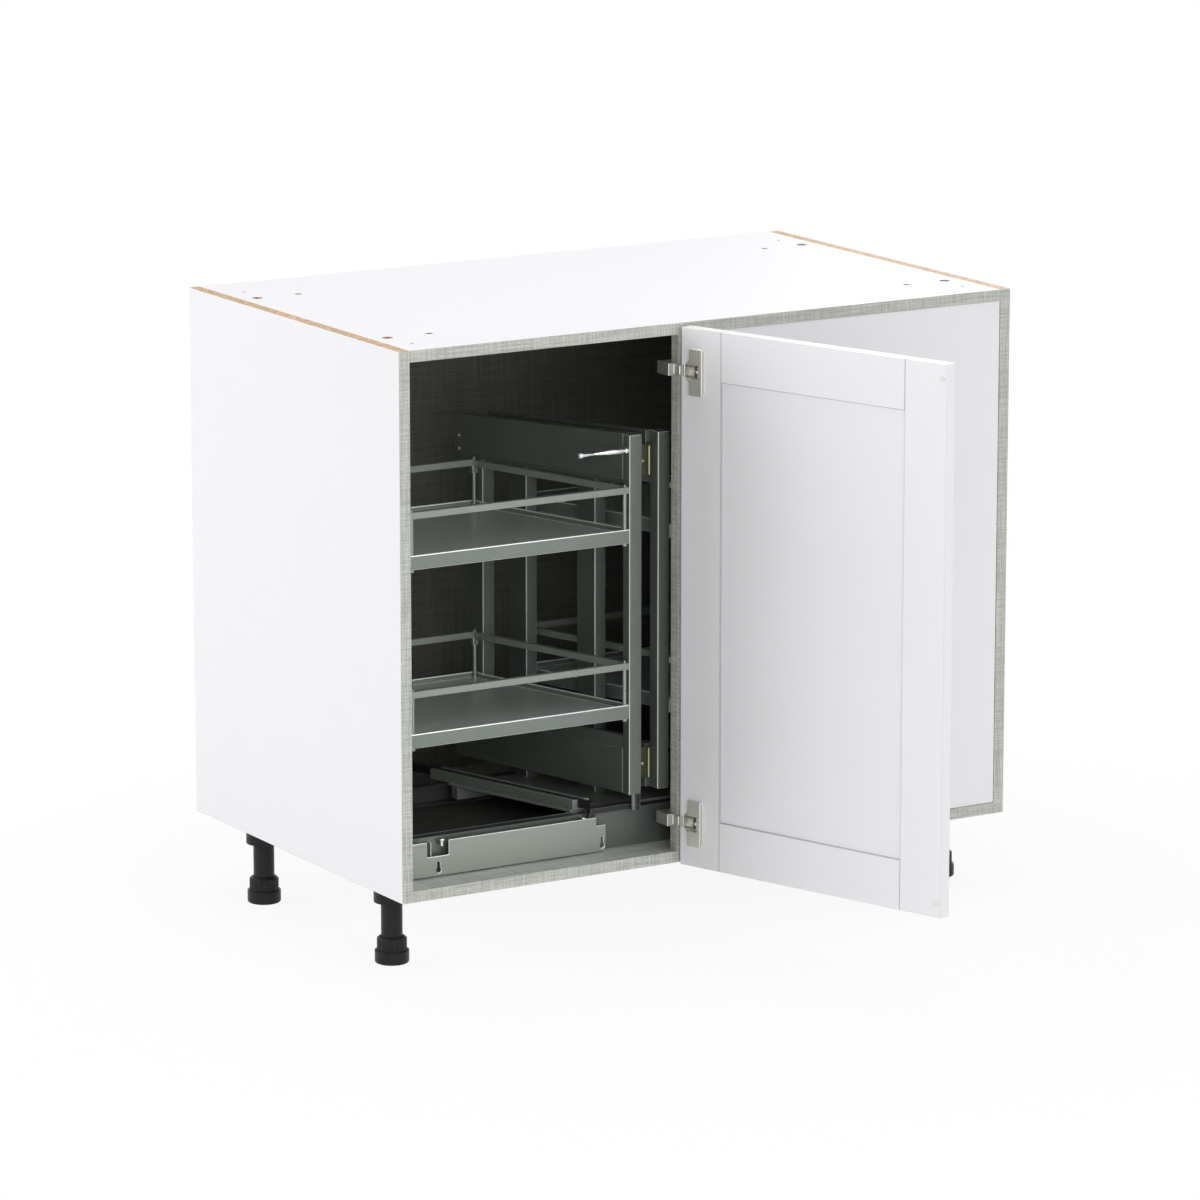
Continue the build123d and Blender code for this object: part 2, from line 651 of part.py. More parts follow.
with BuildPart() as door_hinge_stile:
    add(door_stile(HINGE_STILE, HINGE_EDGE, HINGE_STILE, -1).part)
    with BuildSketch(door_wall(HALF_DOOR)):
        with Locations(*[(CUP_U, z) for z in HINGE_HEIGHTS]):
            Circle(CUP_RADIUS + FIT)
    extrude(amount=CUP_DEPTH + FIT, mode=Mode.SUBTRACT)
    with BuildSketch(door_wall(HALF_DOOR)):
        with Locations(*FLANGE_SCREWS):
            Circle(SCREW_RADIUS)
    extrude(amount=SCREW_LENGTH, mode=Mode.SUBTRACT)
save(door_hinge_stile, "door_hinge_stile")
save(door_stile(FREE_EDGE, LOCK_STILE, LOCK_STILE - GROOVE_SPACE, 0), "door_lock_stile")


def door_rail(low, groove):
    """A level bar of the door, with a tongue at each end and a groove for the panel."""
    with BuildPart() as rail:
        with BuildSketch(door_level(low)):
            patch(LOCK_STILE, HINGE_STILE, -HALF_DOOR, HALF_DOOR)
            patch(LOCK_STILE - DOOR_GROOVE, HINGE_STILE + DOOR_GROOVE, PANEL_OUT, PANEL_IN)
        extrude(amount=STILE_WIDTH)
        with BuildSketch(door_level(groove)):
            patch(LOCK_STILE - STILE_WIDTH, HINGE_STILE + STILE_WIDTH, PANEL_OUT - FIT, PANEL_IN + FIT)
        extrude(amount=GROOVE_SPACE, mode=Mode.SUBTRACT)
    return rail


TOP_RAIL = DOOR_HIGH - STILE_WIDTH
BOTTOM_RAIL_TOP = DOOR_LOW + STILE_WIDTH
save(door_rail(TOP_RAIL, TOP_RAIL), "door_top_rail")
save(door_rail(DOOR_LOW, BOTTOM_RAIL_TOP - GROOVE_SPACE), "door_bottom_rail")

with BuildPart() as door_panel:
    with BuildSketch(door_wall(PANEL_IN)):
        patch(LOCK_STILE - DOOR_GROOVE, HINGE_STILE + DOOR_GROOVE,
              BOTTOM_RAIL_TOP - DOOR_GROOVE, TOP_RAIL + DOOR_GROOVE)
    extrude(amount=DOOR_PANEL_THICKNESS)
save(door_panel, "door_panel")

with BuildPart() as door_bumpers:
    with BuildSketch(door_wall(HALF_DOOR)):
        with Locations(*[(FREE_EDGE + BOARD / 2, z)
                         for z in (DOOR_LOW + BUMPER_INSET, DOOR_HIGH - BUMPER_INSET)]):
            Circle(BUMPER_RADIUS)
    extrude(amount=-BUMPER_THICKNESS)
save(door_bumpers, "door_bumpers")

# Hinges: a cup with its flange in the door, and a plate with its arm behind the blind panel
with BuildPart() as hinge_cups:
    with BuildSketch(door_wall(HALF_DOOR)):
        with Locations(*[(FLANGE_U, z) for z in HINGE_HEIGHTS]):
            RectangleRounded(FLANGE_WIDTH, FLANGE_HEIGHT, FLANGE_CORNER)
    extrude(amount=-FLANGE_THICKNESS)
    with BuildSketch(door_wall(HALF_DOOR)):
        with Locations(*[(CUP_U, z) for z in HINGE_HEIGHTS]):
            Circle(CUP_RADIUS)
    extrude(amount=CUP_DEPTH)
    with BuildSketch(door_wall(HALF_DOOR - CUP_DEPTH + CUP_WALL)):
        with Locations(*[(CUP_U, z) for z in HINGE_HEIGHTS]):
            Circle(CUP_RADIUS - CUP_WALL)
    extrude(amount=-CUP_DEPTH - FLANGE_THICKNESS, mode=Mode.SUBTRACT)
    with BuildSketch(door_wall(HALF_DOOR)):
        with Locations(*FLANGE_SCREWS):
            Circle(SCREW_RADIUS)
    extrude(amount=-FLANGE_THICKNESS, mode=Mode.SUBTRACT)
    with BuildSketch(door_wall(HALF_DOOR + FLANGE_THICKNESS)):
        with Locations(*FLANGE_SCREWS):
            Circle(SCREW_HEAD_RADIUS + FIT)
    extrude(amount=SCREW_SINK, mode=Mode.SUBTRACT)
save(hinge_cups, "hinge_cups")


def drive_screws(plane, spots, outwards):
    """Wood screws whose heads stand on one side of the given plane, in the current part."""
    with BuildSketch(plane) as heads:
        with Locations(*spots):
            Circle(SCREW_HEAD_RADIUS)
    extrude(heads.sketch, amount=outwards * SCREW_HEAD)
    with BuildSketch(plane) as shanks:
        with Locations(*spots):
            Circle(SCREW_RADIUS - FIT)
    extrude(shanks.sketch, amount=-outwards * SCREW_LENGTH)


with BuildPart() as hinge_cup_screws:
    drive_screws(door_wall(HALF_DOOR + FLANGE_THICKNESS - SCREW_SINK), FLANGE_SCREWS, -1)
save(hinge_cup_screws, "hinge_cup_screws")


def around_axis(radius, degrees):
    """A plan point at a distance from the hinge axis, with angles counted from +X."""
    angle = math.radians(degrees)
    return AXIS_X + radius * math.cos(angle), AXIS_Y + radius * math.sin(angle)


# The finger of each arm ends in a hollow around the hinge axis, just clear of the door's inner corner
ARM_RIGHT = STILE_LEFT - ARM_SIDE_GAP
ARM_LEFT = ARM_RIGHT - ARM_WIDTH
PLATE_BACK = BLIND_BACK + HINGE_PLATE_THICKNESS
ARM_BACK = PLATE_BACK + ARM_THICKNESS
FINGER_INNER = math.hypot(AXIS_FROM_EDGE - DOOR_CHAMFER, HALF_DOOR) + FINGER_CLEARANCE
FINGER_OUTER = FINGER_INNER + FINGER_THICKNESS
with BuildPart() as hinge_arms:
    for z in HINGE_HEIGHTS:
        with BuildSketch(level(z - ARM_HALF_HEIGHT)):
            patch(ARM_LEFT, ARM_RIGHT, ARM_FRONT, ARM_BACK)
            patch(ARM_RIGHT, STILE_LEFT + ARM_REACH, PLATE_BACK, ARM_BACK)
        extrude(amount=2 * ARM_HALF_HEIGHT)
        with BuildSketch(level(z - FINGER_HALF_HEIGHT)):
            outline((ARM_RIGHT - FINGER_ROOT, ARM_FRONT),
                    around_axis(FINGER_OUTER, FINGER_TIP),
                    around_axis(FINGER_INNER, FINGER_TIP),
                    around_axis(FINGER_INNER, (FINGER_TIP + FINGER_BEND) / 2),
                    around_axis(FINGER_INNER, FINGER_BEND),
                    around_axis(FINGER_OUTER - FINGER_EASE, FINGER_BACK),
                    (STILE_LEFT + ARM_SIDE_GAP, -2 * ARM_FRONT),
                    (ARM_RIGHT, ARM_FRONT))
        extrude(amount=2 * FINGER_HALF_HEIGHT)
save(hinge_arms, "hinge_arms")

with BuildPart() as hinge_plates:
    with BuildSketch(wall(BLIND_BACK)):
        with Locations(*[(STILE_LEFT + HINGE_PLATE_X, z) for z in HINGE_HEIGHTS]):
            RectangleRounded(HINGE_PLATE_WIDTH, HINGE_PLATE_HEIGHT, HINGE_PLATE_CORNER)
        with Locations(*PLATE_SCREWS):
            Circle(SCREW_RADIUS, mode=Mode.SUBTRACT)
    extrude(amount=-HINGE_PLATE_THICKNESS)
save(hinge_plates, "hinge_plates")

with BuildPart() as fixing_screws:
    drive_screws(wall(PLATE_BACK), PLATE_SCREWS, -1)
    drive_screws(level(FLOOR + SHEET), rail_screw_spots(), 1)
save(fixing_screws, "fixing_screws")

# Fixed rails: sheet channels with an inner shelf on which the rear unit's wheels run

def channel_rail(front, web):
    """A channel along X with an upright web, three shelves and gaps for the runners."""
    back = front + CHANNEL_RAIL_DEPTH
    with BuildPart() as rail:
        with BuildSketch(side(INNER_LEFT + RAIL_END_GAP)):
            patch(web, web + SHEET, FLOOR, RAIL_TOP)
            for low in (FLOOR, SHELF_TOP - SHEET, RAIL_TOP - SHEET):
                patch(front, back, low, low + SHEET)
        extrude(amount=INNER_RIGHT - INNER_LEFT - 2 * RAIL_END_GAP)
        with BuildSketch(level(FLOOR)):
            for x in RUNNERS:
                half = RUNNER_WIDTH / 2 + RUNNER_CUT_PLAY
                patch(x - half, x + half, front, back)
        extrude(amount=RUNNER_HEIGHT + RUNNER_CUT_PLAY, mode=Mode.SUBTRACT)
        with BuildSketch(level(FLOOR)):
            with Locations(*[(x, front + CHANNEL_RAIL_DEPTH / 2) for x in RAIL_SCREWS]):
                Circle(SCREW_RADIUS)
        extrude(amount=SHEET, mode=Mode.SUBTRACT)
    return rail


save(channel_rail(FRONT_RAIL, FRONT_RAIL), "front_rail")
save(channel_rail(REAR_RAIL, REAR_RAIL + CHANNEL_RAIL_DEPTH - SHEET), "rear_rail")

# Telescopic runners: an outer channel on the floor, a middle channel and an inner bar
CARRIAGE_BACK = CARRIAGE_FACE + CARRIAGE_SHEET
MEMBER_STEP = SHEET + RUNNER_PLAY


def runner_channels(y0, y1, steps):
    """A pair of lipped channels along Y, a number of steps smaller than the outer ones."""
    with BuildPart() as channels:
        for x in RUNNERS:
            half = RUNNER_WIDTH / 2 - steps * MEMBER_STEP
            low = FLOOR + steps * MEMBER_STEP
            high = RUNNER_TOP - steps * MEMBER_STEP
            mouth = half - SHEET - RUNNER_LIP
            with BuildSketch(wall(y0)):
                patch(x - half, x + half, low, high)
                patch(x - half + SHEET, x + half - SHEET, low + SHEET, high - SHEET, mode=Mode.SUBTRACT)
                patch(x - mouth, x + mouth, high - SHEET, high, mode=Mode.SUBTRACT)
            extrude(amount=y0 - y1)
    return channels


save(runner_channels(RUNNER_FRONT, RUNNER_BACK, 0), "runner_outers")
save(runner_channels(RUNNER_FRONT + RUNNER_STEP, RUNNER_BACK - RUNNER_STEP, 1), "runner_middles")

with BuildPart() as runner_inners:
    half = RUNNER_WIDTH / 2 - 2 * MEMBER_STEP
    with BuildSketch(wall(CARRIAGE_BACK)):
        for x in RUNNERS:
            patch(x - half, x + half, FLOOR + 2 * MEMBER_STEP, RUNNER_TOP - 2 * MEMBER_STEP)
    extrude(amount=CARRIAGE_BACK - RUNNER_BACK + 2 * RUNNER_STEP)
save(runner_inners, "runner_inners")

with BuildPart() as floor_cover:
    with BuildSketch(level(RUNNER_TOP)):
        patch(INNER_LEFT + RAIL_END_GAP, STILE_LEFT - COVER_FROM_STILE,
              RUNNER_FRONT, REAR_RAIL - RUNNER_FROM_RAIL)
    extrude(amount=COVER_THICKNESS)
save(floor_cover, "floor_cover")

# Front carriage: a face plate on the runners, with the pivot of the front unit and the guide blade
STEP_TOP = CARRIAGE_TOP - CARRIAGE_STEP_DROP
STEP_LEFT = CARRIAGE_RIGHT - CARRIAGE_STEP_WIDTH
with BuildPart() as carriage_plate:
    with BuildSketch(wall(CARRIAGE_BACK)) as face:
        patch(CARRIAGE_LEFT, CARRIAGE_RIGHT, CARRIAGE_LOW, CARRIAGE_TOP)
        fillet(face.vertices().group_by(Axis.X)[-1].sort_by(Axis.Y)[0], radius=CARRIAGE_CORNER)
        patch(STEP_LEFT, CARRIAGE_RIGHT, STEP_TOP, CARRIAGE_TOP, mode=Mode.SUBTRACT)
        patch(NOTCH_LEFT, NOTCH_LEFT + NOTCH_WIDTH, CARRIAGE_TOP - NOTCH_DEPTH, CARRIAGE_TOP,
              mode=Mode.SUBTRACT)
        for x in (KEYHOLE_LEFT, CARRIAGE_RIGHT - KEYHOLE_FROM_END):
            low = CARRIAGE_LOW + 2 * KEYHOLE_RADIUS
            with Locations((x, low)):
                Circle(KEYHOLE_RADIUS, mode=Mode.SUBTRACT)
            patch(x - KEYHOLE_SLOT / 2, x + KEYHOLE_SLOT / 2, low, low + KEYHOLE_HEIGHT,
                  mode=Mode.SUBTRACT)
    extrude(amount=CARRIAGE_SHEET)
save(carriage_plate, "carriage_plate")

with BuildPart() as carriage_buffers:
    with BuildSketch(level(CARRIAGE_TOP + BUFFER_RISE)):
        with Locations(*[(x, CARRIAGE_BACK + BUFFER_RADIUS)
                         for x in (BUFFER_LEFT, CARRIAGE_RIGHT - BUFFER_FROM_END)]):
            Circle(BUFFER_RADIUS)
    extrude(amount=-BUFFER_HEIGHT)
save(carriage_buffers, "carriage_buffers")

TAB_LEFT = STEP_LEFT - PIVOT_TAB_WIDTH
TAB_LOW = CARRIAGE_TOP - PIVOT_TAB_HEIGHT
ARM_FACE_BACK = CARRIAGE_FACE + PIVOT_ARM_DEPTH
with BuildPart() as pivot_arm:
    with BuildSketch(level(BASE_TOP)):
        patch(TAB_LEFT, PIVOT_X, CARRIAGE_FACE, ARM_FACE_BACK)
        with Locations((PIVOT_X, PIVOT_Y)):
            Circle(PIVOT_COLLAR_RADIUS)
            Circle(PIVOT_RADIUS + FIT / 2, mode=Mode.SUBTRACT)
    extrude(amount=PIVOT_ARM_THICKNESS)
    with BuildSketch(wall(CARRIAGE_BACK)):
        patch(TAB_LEFT, STEP_LEFT, TAB_LOW, BASE_TOP)
        patch(TAB_LEFT, CARRIAGE_RIGHT - PIVOT_TAB_INSET, TAB_LOW, STEP_TOP - PIVOT_TAB_INSET)
    extrude(amount=-PIVOT_TAB_THICKNESS)
save(pivot_arm, "pivot_arm")

with BuildPart() as pivot_pin:
    with BuildSketch(level(BASE_TOP)):
        with Locations((PIVOT_X, PIVOT_Y)):
            Circle(PIVOT_RADIUS)
    extrude(amount=FRAME_BOTTOM + PIVOT_ENGAGEMENT - BASE_TOP)
    with BuildSketch(level(ARM_TOP)):
        with Locations((PIVOT_X, PIVOT_Y)):
            Circle(PIVOT_COLLAR_RADIUS)
    extrude(amount=FRAME_BOTTOM - PIVOT_GAP - ARM_TOP)
save(pivot_pin, "pivot_pin")


def slanted_bar(line, y0, y1, left, right):
    """A bar in plan that follows a slanted line between two depths, in the current sketch."""
    outline((line(y0) + left, y0), (line(y0) + right, y0), (line(y1) + right, y1), (line(y1) + left, y1))


with BuildPart() as guide_blade:
    with BuildSketch(level(BLADE_LOW)):
        slanted_bar(guide_line, ARM_FACE_BACK, BACK_FRONT - BLADE_FROM_BACK,
                    -BLADE_WIDTH / 2, BLADE_WIDTH / 2)
    extrude(amount=BLADE_TOP - BLADE_LOW)
save(guide_blade, "guide_blade")

# Front unit
with BuildPart() as front_post:
    with BuildSketch(level(FRAME_BOTTOM)):
        patch(FRONT_POST_X, FRONT_POST_X + FRONT_POST_WIDTH, FRONT_POST_Y, FRONT_POST_BACK)
    extrude(amount=FRAME_TOP - FRAME_BOTTOM)
    with BuildSketch(level(FRAME_BOTTOM)):
        with Locations((PIVOT_X, PIVOT_Y)):
            Circle(PIVOT_RADIUS + FIT / 2)
    extrude(amount=PIVOT_ENGAGEMENT + PIVOT_BORE_END, mode=Mode.SUBTRACT)
save(front_post, "front_post")

BACK_POST_X = front_line(BACK_POST_Y)
with BuildPart() as front_back_post:
    with BuildSketch(level(LOW_BEAM_TOP + LOWER_FLANGE)):
        patch(BACK_POST_X, BACK_POST_X + BACK_POST_WIDTH, BACK_POST_Y, BACK_POST_Y + BACK_POST_DEPTH)
    extrude(amount=HIGH_BEAM - UPPER_FLANGE - LOW_BEAM_TOP - LOWER_FLANGE)
save(front_back_post, "front_back_post")


def front_beam(low, flange, flange_height, cut_edge, cut_back):
    """A slanted beam of the front unit with a flange, whose outer edge runs off towards its back end."""
    end = BACK_POST_Y + FRONT_BEAM_TAIL
    with BuildPart() as beam:
        with BuildSketch(level(low)):
            slanted_bar(front_line, FRONT_POST_BACK, end, 0, FRONT_BEAM_THICKNESS)
        extrude(amount=BEAM_HEIGHT)
        with BuildSketch(level(flange)):
            slanted_bar(front_line, FRONT_POST_BACK, end, FLANGE_SETBACK, FLANGE_SETBACK + FLANGE_DEPTH)
        extrude(amount=flange_height)
        with BuildSketch(side(0)):
            outline((FRONT_POST_BACK, cut_edge), (end, cut_back), (end, cut_edge))
        extrude(amount=WIDTH, mode=Mode.SUBTRACT)
    return beam


save(front_beam(HIGH_BEAM, HIGH_BEAM - UPPER_FLANGE, UPPER_FLANGE,
                FRAME_TOP, FRAME_TOP - BEAM_HIGH_TAPER), "front_upper_beam")
save(front_beam(FRAME_BOTTOM, LOW_BEAM_TOP, LOWER_FLANGE,
                FRAME_BOTTOM, FRAME_BOTTOM + BEAM_LOW_TAPER), "front_lower_beam")


def swing_x(y):
    """X of the front trays' curved edge at a given depth, which keeps clear of the left side."""
    return PIVOT_X - math.sqrt(TRAY_SWING_RADIUS ** 2 - (y - PIVOT_Y) ** 2)


def front_tray_face():
    """The outline of the front unit's trays, in the current sketch."""
    middle = (FRONT_POST_Y + TRAY_BACK) / 2
    with BuildLine() as edge:
        sides = Polyline((swing_x(FRONT_POST_Y), FRONT_POST_Y), (FRONT_POST_X, FRONT_POST_Y),
                         (FRONT_POST_X, FRONT_POST_BACK), (BACK_POST_X, BACK_POST_Y),
                         (BACK_POST_X, TRAY_BACK), (swing_x(TRAY_BACK), TRAY_BACK))
        ThreePointArc(sides @ 1, (swing_x(middle), middle), sides @ 0)
    make_face(edge.edges())


def rear_tray_line(y):
    """X of the rear trays' slanted left edge at a given depth."""
    return REAR_TRAY_X - SLANT * (y - REAR_TRAY_FRONT)


def rear_tray_face():
    """The outline of the rear unit's trays, in the current sketch."""
    outline((rear_tray_line(REAR_TRAY_FRONT), REAR_TRAY_FRONT), (REAR_TRAY_RIGHT, REAR_TRAY_FRONT),
            (REAR_TRAY_RIGHT, REAR_TRAY_BACK), (rear_tray_line(REAR_TRAY_BACK), REAR_TRAY_BACK))


def make_tray(face, low):
    """A tray: a thin rim around a floor that lies a little below its top edge."""
    with BuildPart() as tray:
        with BuildSketch(level(low)) as rim:
            face()
            offset(amount=-TRAY_WALL, mode=Mode.SUBTRACT)
        extrude(rim.sketch, amount=TRAY_RIM)
        with BuildSketch(level(low + TRAY_RIM - TRAY_FLOOR_DROP)) as floor:
            face()
        extrude(floor.sketch, amount=-TRAY_WALL)
    return tray


def make_galleries(face, rods):
    """The guard rings above both trays, each on rods that stand on the tray floor."""
    with BuildPart() as galleries:
        for low in TRAY_LEVELS:
            ring_low = LEG_HEIGHT + low + GALLERY_RISE
            floor = LEG_HEIGHT + low + TRAY_RIM - TRAY_FLOOR_DROP
            with BuildSketch(level(ring_low)) as ring:
                face()
                offset(amount=-GALLERY_WIDTH, mode=Mode.SUBTRACT)
            extrude(ring.sketch, amount=GALLERY_HEIGHT)
            with BuildSketch(level(floor)) as feet:
                with Locations(*rods):
                    Circle(GALLERY_ROD)
            extrude(feet.sketch, amount=ring_low - floor)
    return galleries


for name, low in zip(TRAY_NAMES, TRAY_LEVELS):
    save(make_tray(front_tray_face, LEG_HEIGHT + low), f"front_{name}_tray")

ROD_INSET = TRAY_WALL + FIT + GALLERY_ROD
FRONT_RODS = [(swing_x(FRONT_POST_Y) + ROD_FROM_TIP, FRONT_POST_Y + ROD_INSET),
              (FRONT_POST_X - ROD_INSET, FRONT_POST_Y + ROD_INSET),
              (swing_x(TRAY_BACK) + BACK_ROD_FROM_TIP, TRAY_BACK - ROD_INSET),
              (BACK_POST_X - ROD_INSET, TRAY_BACK - ROD_INSET)]
save(make_galleries(front_tray_face, FRONT_RODS), "front_galleries")

KNOB_LEVEL = FRAME_TOP - KNOB_FROM_TOP
KNOB_TIP = FRONT_POST_X - KNOB_LENGTH
with BuildPart() as pull_knob:
    with BuildSketch(wall(PIVOT_Y)):
        with BuildLine():
            profile = Spline((FRONT_POST_X, KNOB_LEVEL + KNOB_ROOT_RADIUS),
                             (FRONT_POST_X - KNOB_WAIST, KNOB_LEVEL + KNOB_WAIST_RADIUS),
                             (KNOB_TIP, KNOB_LEVEL + KNOB_TIP_RADIUS),
                             tangents=((-1, -0.2), (-1, 0.1)))
            Polyline(profile @ 1, (KNOB_TIP, KNOB_LEVEL), (FRONT_POST_X, KNOB_LEVEL), profile @ 0)
        make_face()
    revolve(axis=Axis((-WIDTH / 2, FRONT_Y + PIVOT_Y, KNOB_LEVEL), (1, 0, 0)))
save(pull_knob, "pull_knob")

# Rear unit: frame
with BuildPart() as rear_front_post:
    with BuildSketch(level(REAR_BOTTOM)):
        patch(REAR_POST_X, REAR_POST_X + REAR_POST_WIDTH, REAR_POST_Y, REAR_POST_BACK)
    extrude(amount=FRAME_TOP - REAR_BOTTOM)
save(rear_front_post, "rear_front_post")


def rear_beam(low, high, taper):
    """A slanted beam of the rear unit, from its front post to behind its last upright."""
    end = REAR_TRAY_BACK + REAR_BEAM_TAIL
    with BuildPart() as beam:
        with BuildSketch(level(low)):
            slanted_bar(rear_line, REAR_POST_BACK, end, 0, REAR_BEAM_THICKNESS)
        extrude(amount=high - low)
        if taper:
            with BuildSketch(side(0)):
                outline((REAR_POST_BACK, high), (end, high - taper), (end, high))
            extrude(amount=WIDTH, mode=Mode.SUBTRACT)
    return beam


save(rear_beam(HIGH_BEAM, FRAME_TOP, BEAM_HIGH_TAPER), "rear_upper_beam")
save(rear_beam(REAR_BOTTOM, LOW_BEAM_TOP, 0), "rear_lower_beam")

# Each upright stands between the beams, and a short foot carries the lower beam below it
with BuildPart() as rear_uprights:
    for low, high in ((BASE_TOP, REAR_BOTTOM), (LOW_BEAM_TOP, HIGH_BEAM)):
        with BuildSketch(level(low)):
            for back in UPRIGHT_BACKS:
                right = rear_tray_line(back)
                patch(right - UPRIGHT_WIDTH, right, back - UPRIGHT_DEPTH, back)
        extrude(amount=high - low)
save(rear_uprights, "rear_uprights")

with BuildPart() as rear_end_posts:
    with BuildSketch(level(BASE_TOP)):
        for front in END_POST_FRONTS:
            patch(REAR_TRAY_RIGHT, REAR_TRAY_RIGHT + END_POST_WIDTH, front, front + END_POST_DEPTH)
    extrude(amount=HIGH_BEAM - BASE_TOP)
save(rear_end_posts, "rear_end_posts")

# The blocks move left as the front post moves forwards past them, so they start that much further right
BLOCK_FRONT = REAR_POST_BACK - BLOCK_DEPTH
BLOCK_LEFT = (FRONT_POST_X + FRONT_POST_WIDTH + BLOCK_CLEARANCE
              + SLANT * (FRONT_POST_BACK - BLOCK_FRONT))
with BuildPart() as closing_blocks:
    for low in BLOCK_LEVELS:
        with BuildSketch(level(low)):
            patch(BLOCK_LEFT, REAR_POST_X, BLOCK_FRONT, REAR_POST_BACK)
        extrude(amount=BLOCK_HEIGHT)
save(closing_blocks, "closing_blocks")

# Rear unit: trays, each with wedges that meet the right faces of the post and the uprights
WEDGES = [(REAR_POST_X + REAR_POST_WIDTH, REAR_TRAY_FRONT, REAR_POST_BACK)]
WEDGES += [(rear_tray_line(back), back - WEDGE_DEPTH, back) for back in UPRIGHT_BACKS]
for name, low in zip(TRAY_NAMES, TRAY_LEVELS):
    with BuildPart() as rear_tray:
        add(make_tray(rear_tray_face, LEG_HEIGHT + low).part)
        with BuildSketch(level(LEG_HEIGHT + low)):
            for left, front, back in WEDGES:
                outline((left, front), (rear_tray_line(front) + TRAY_WALL, front),
                        (rear_tray_line(back) + TRAY_WALL, back), (left, back))
        extrude(amount=TRAY_RIM)
    save(rear_tray, f"rear_{name}_tray")

REAR_ROD_FRONT = REAR_TRAY_FRONT + ROD_INSET
REAR_ROD_BACK = REAR_TRAY_BACK - ROD_INSET
REAR_RODS = [(x, y) for y in (REAR_ROD_FRONT, REAR_ROD_BACK)
             for x in (rear_tray_line(y) + ROD_INSET + ROD_FROM_SLANT, (REAR_TRAY_X + REAR_TRAY_RIGHT) / 2,
                       REAR_TRAY_RIGHT - ROD_INSET)]
save(make_galleries(rear_tray_face, REAR_RODS), "rear_galleries")

# Rear unit: wheeled base with the guide channel for the carriage's blade
BASE_RIGHT = REAR_TRAY_RIGHT + END_POST_WIDTH
BASE_MARGIN = GUIDE_WIDTH / 2 + BASE_PLATE_MARGIN
with BuildPart() as rear_base_plate:
    with BuildSketch(level(PLATE_LOW)):
        outline((guide_line(BASE_FRONT) - BASE_MARGIN, BASE_FRONT), (BASE_RIGHT, BASE_FRONT),
                (BASE_RIGHT, BASE_BACK), (guide_line(BASE_BACK) - BASE_MARGIN, BASE_BACK))
    extrude(amount=BASE_PLATE_THICKNESS)
save(rear_base_plate, "rear_base_plate")

with BuildPart() as rear_cross_bars:
    with BuildSketch(level(BAR_LOW)):
        for y in (BASE_FRONT, BASE_BACK - CROSS_BAR_WIDTH):
            patch(guide_line(y) - BASE_MARGIN, BASE_RIGHT, y, y + CROSS_BAR_WIDTH)
    extrude(amount=PLATE_LOW - BAR_LOW)
    with BuildSketch(wall(BASE_FRONT)):
        with Locations(*[(x, WHEEL_LEVEL) for x in WHEELSETS.values()]):
            Circle(AXLE_RADIUS + FIT / 2)
    extrude(amount=BASE_FRONT - BASE_BACK, mode=Mode.SUBTRACT)
save(rear_cross_bars, "rear_cross_bars")

with BuildPart() as guide_channel:
    with BuildSketch(level(BASE_TOP)):
        slanted_bar(guide_line, GUIDE_FRONT, GUIDE_BACK, -GUIDE_WIDTH / 2, GUIDE_WIDTH / 2)
    extrude(amount=GUIDE_HEIGHT)
    with BuildSketch(level(BASE_TOP + GUIDE_FLOOR)):
        slanted_bar(guide_line, GUIDE_FRONT, GUIDE_BACK, -GUIDE_GROOVE / 2, GUIDE_GROOVE / 2)
    extrude(amount=GUIDE_HEIGHT, mode=Mode.SUBTRACT)
save(guide_channel, "guide_channel")

FRONT_WHEEL = FRONT_RAIL + SHEET + WHEEL_INSET
BACK_WHEEL = REAR_RAIL + CHANNEL_RAIL_DEPTH - SHEET - WHEEL_INSET
for name, x in WHEELSETS.items():
    with BuildPart() as wheelset:
        for y in (FRONT_WHEEL, BACK_WHEEL - WHEEL_WIDTH):
            with BuildSketch(wall(y)):
                with Locations((x, WHEEL_LEVEL)):
                    Circle(WHEEL_RADIUS)
            extrude(amount=-WHEEL_WIDTH)
        with BuildSketch(wall(FRONT_WHEEL)):
            with Locations((x, WHEEL_LEVEL)):
                Circle(AXLE_RADIUS)
        extrude(amount=FRONT_WHEEL - BACK_WHEEL)
    save(wheelset, f"wheelset_{name}")
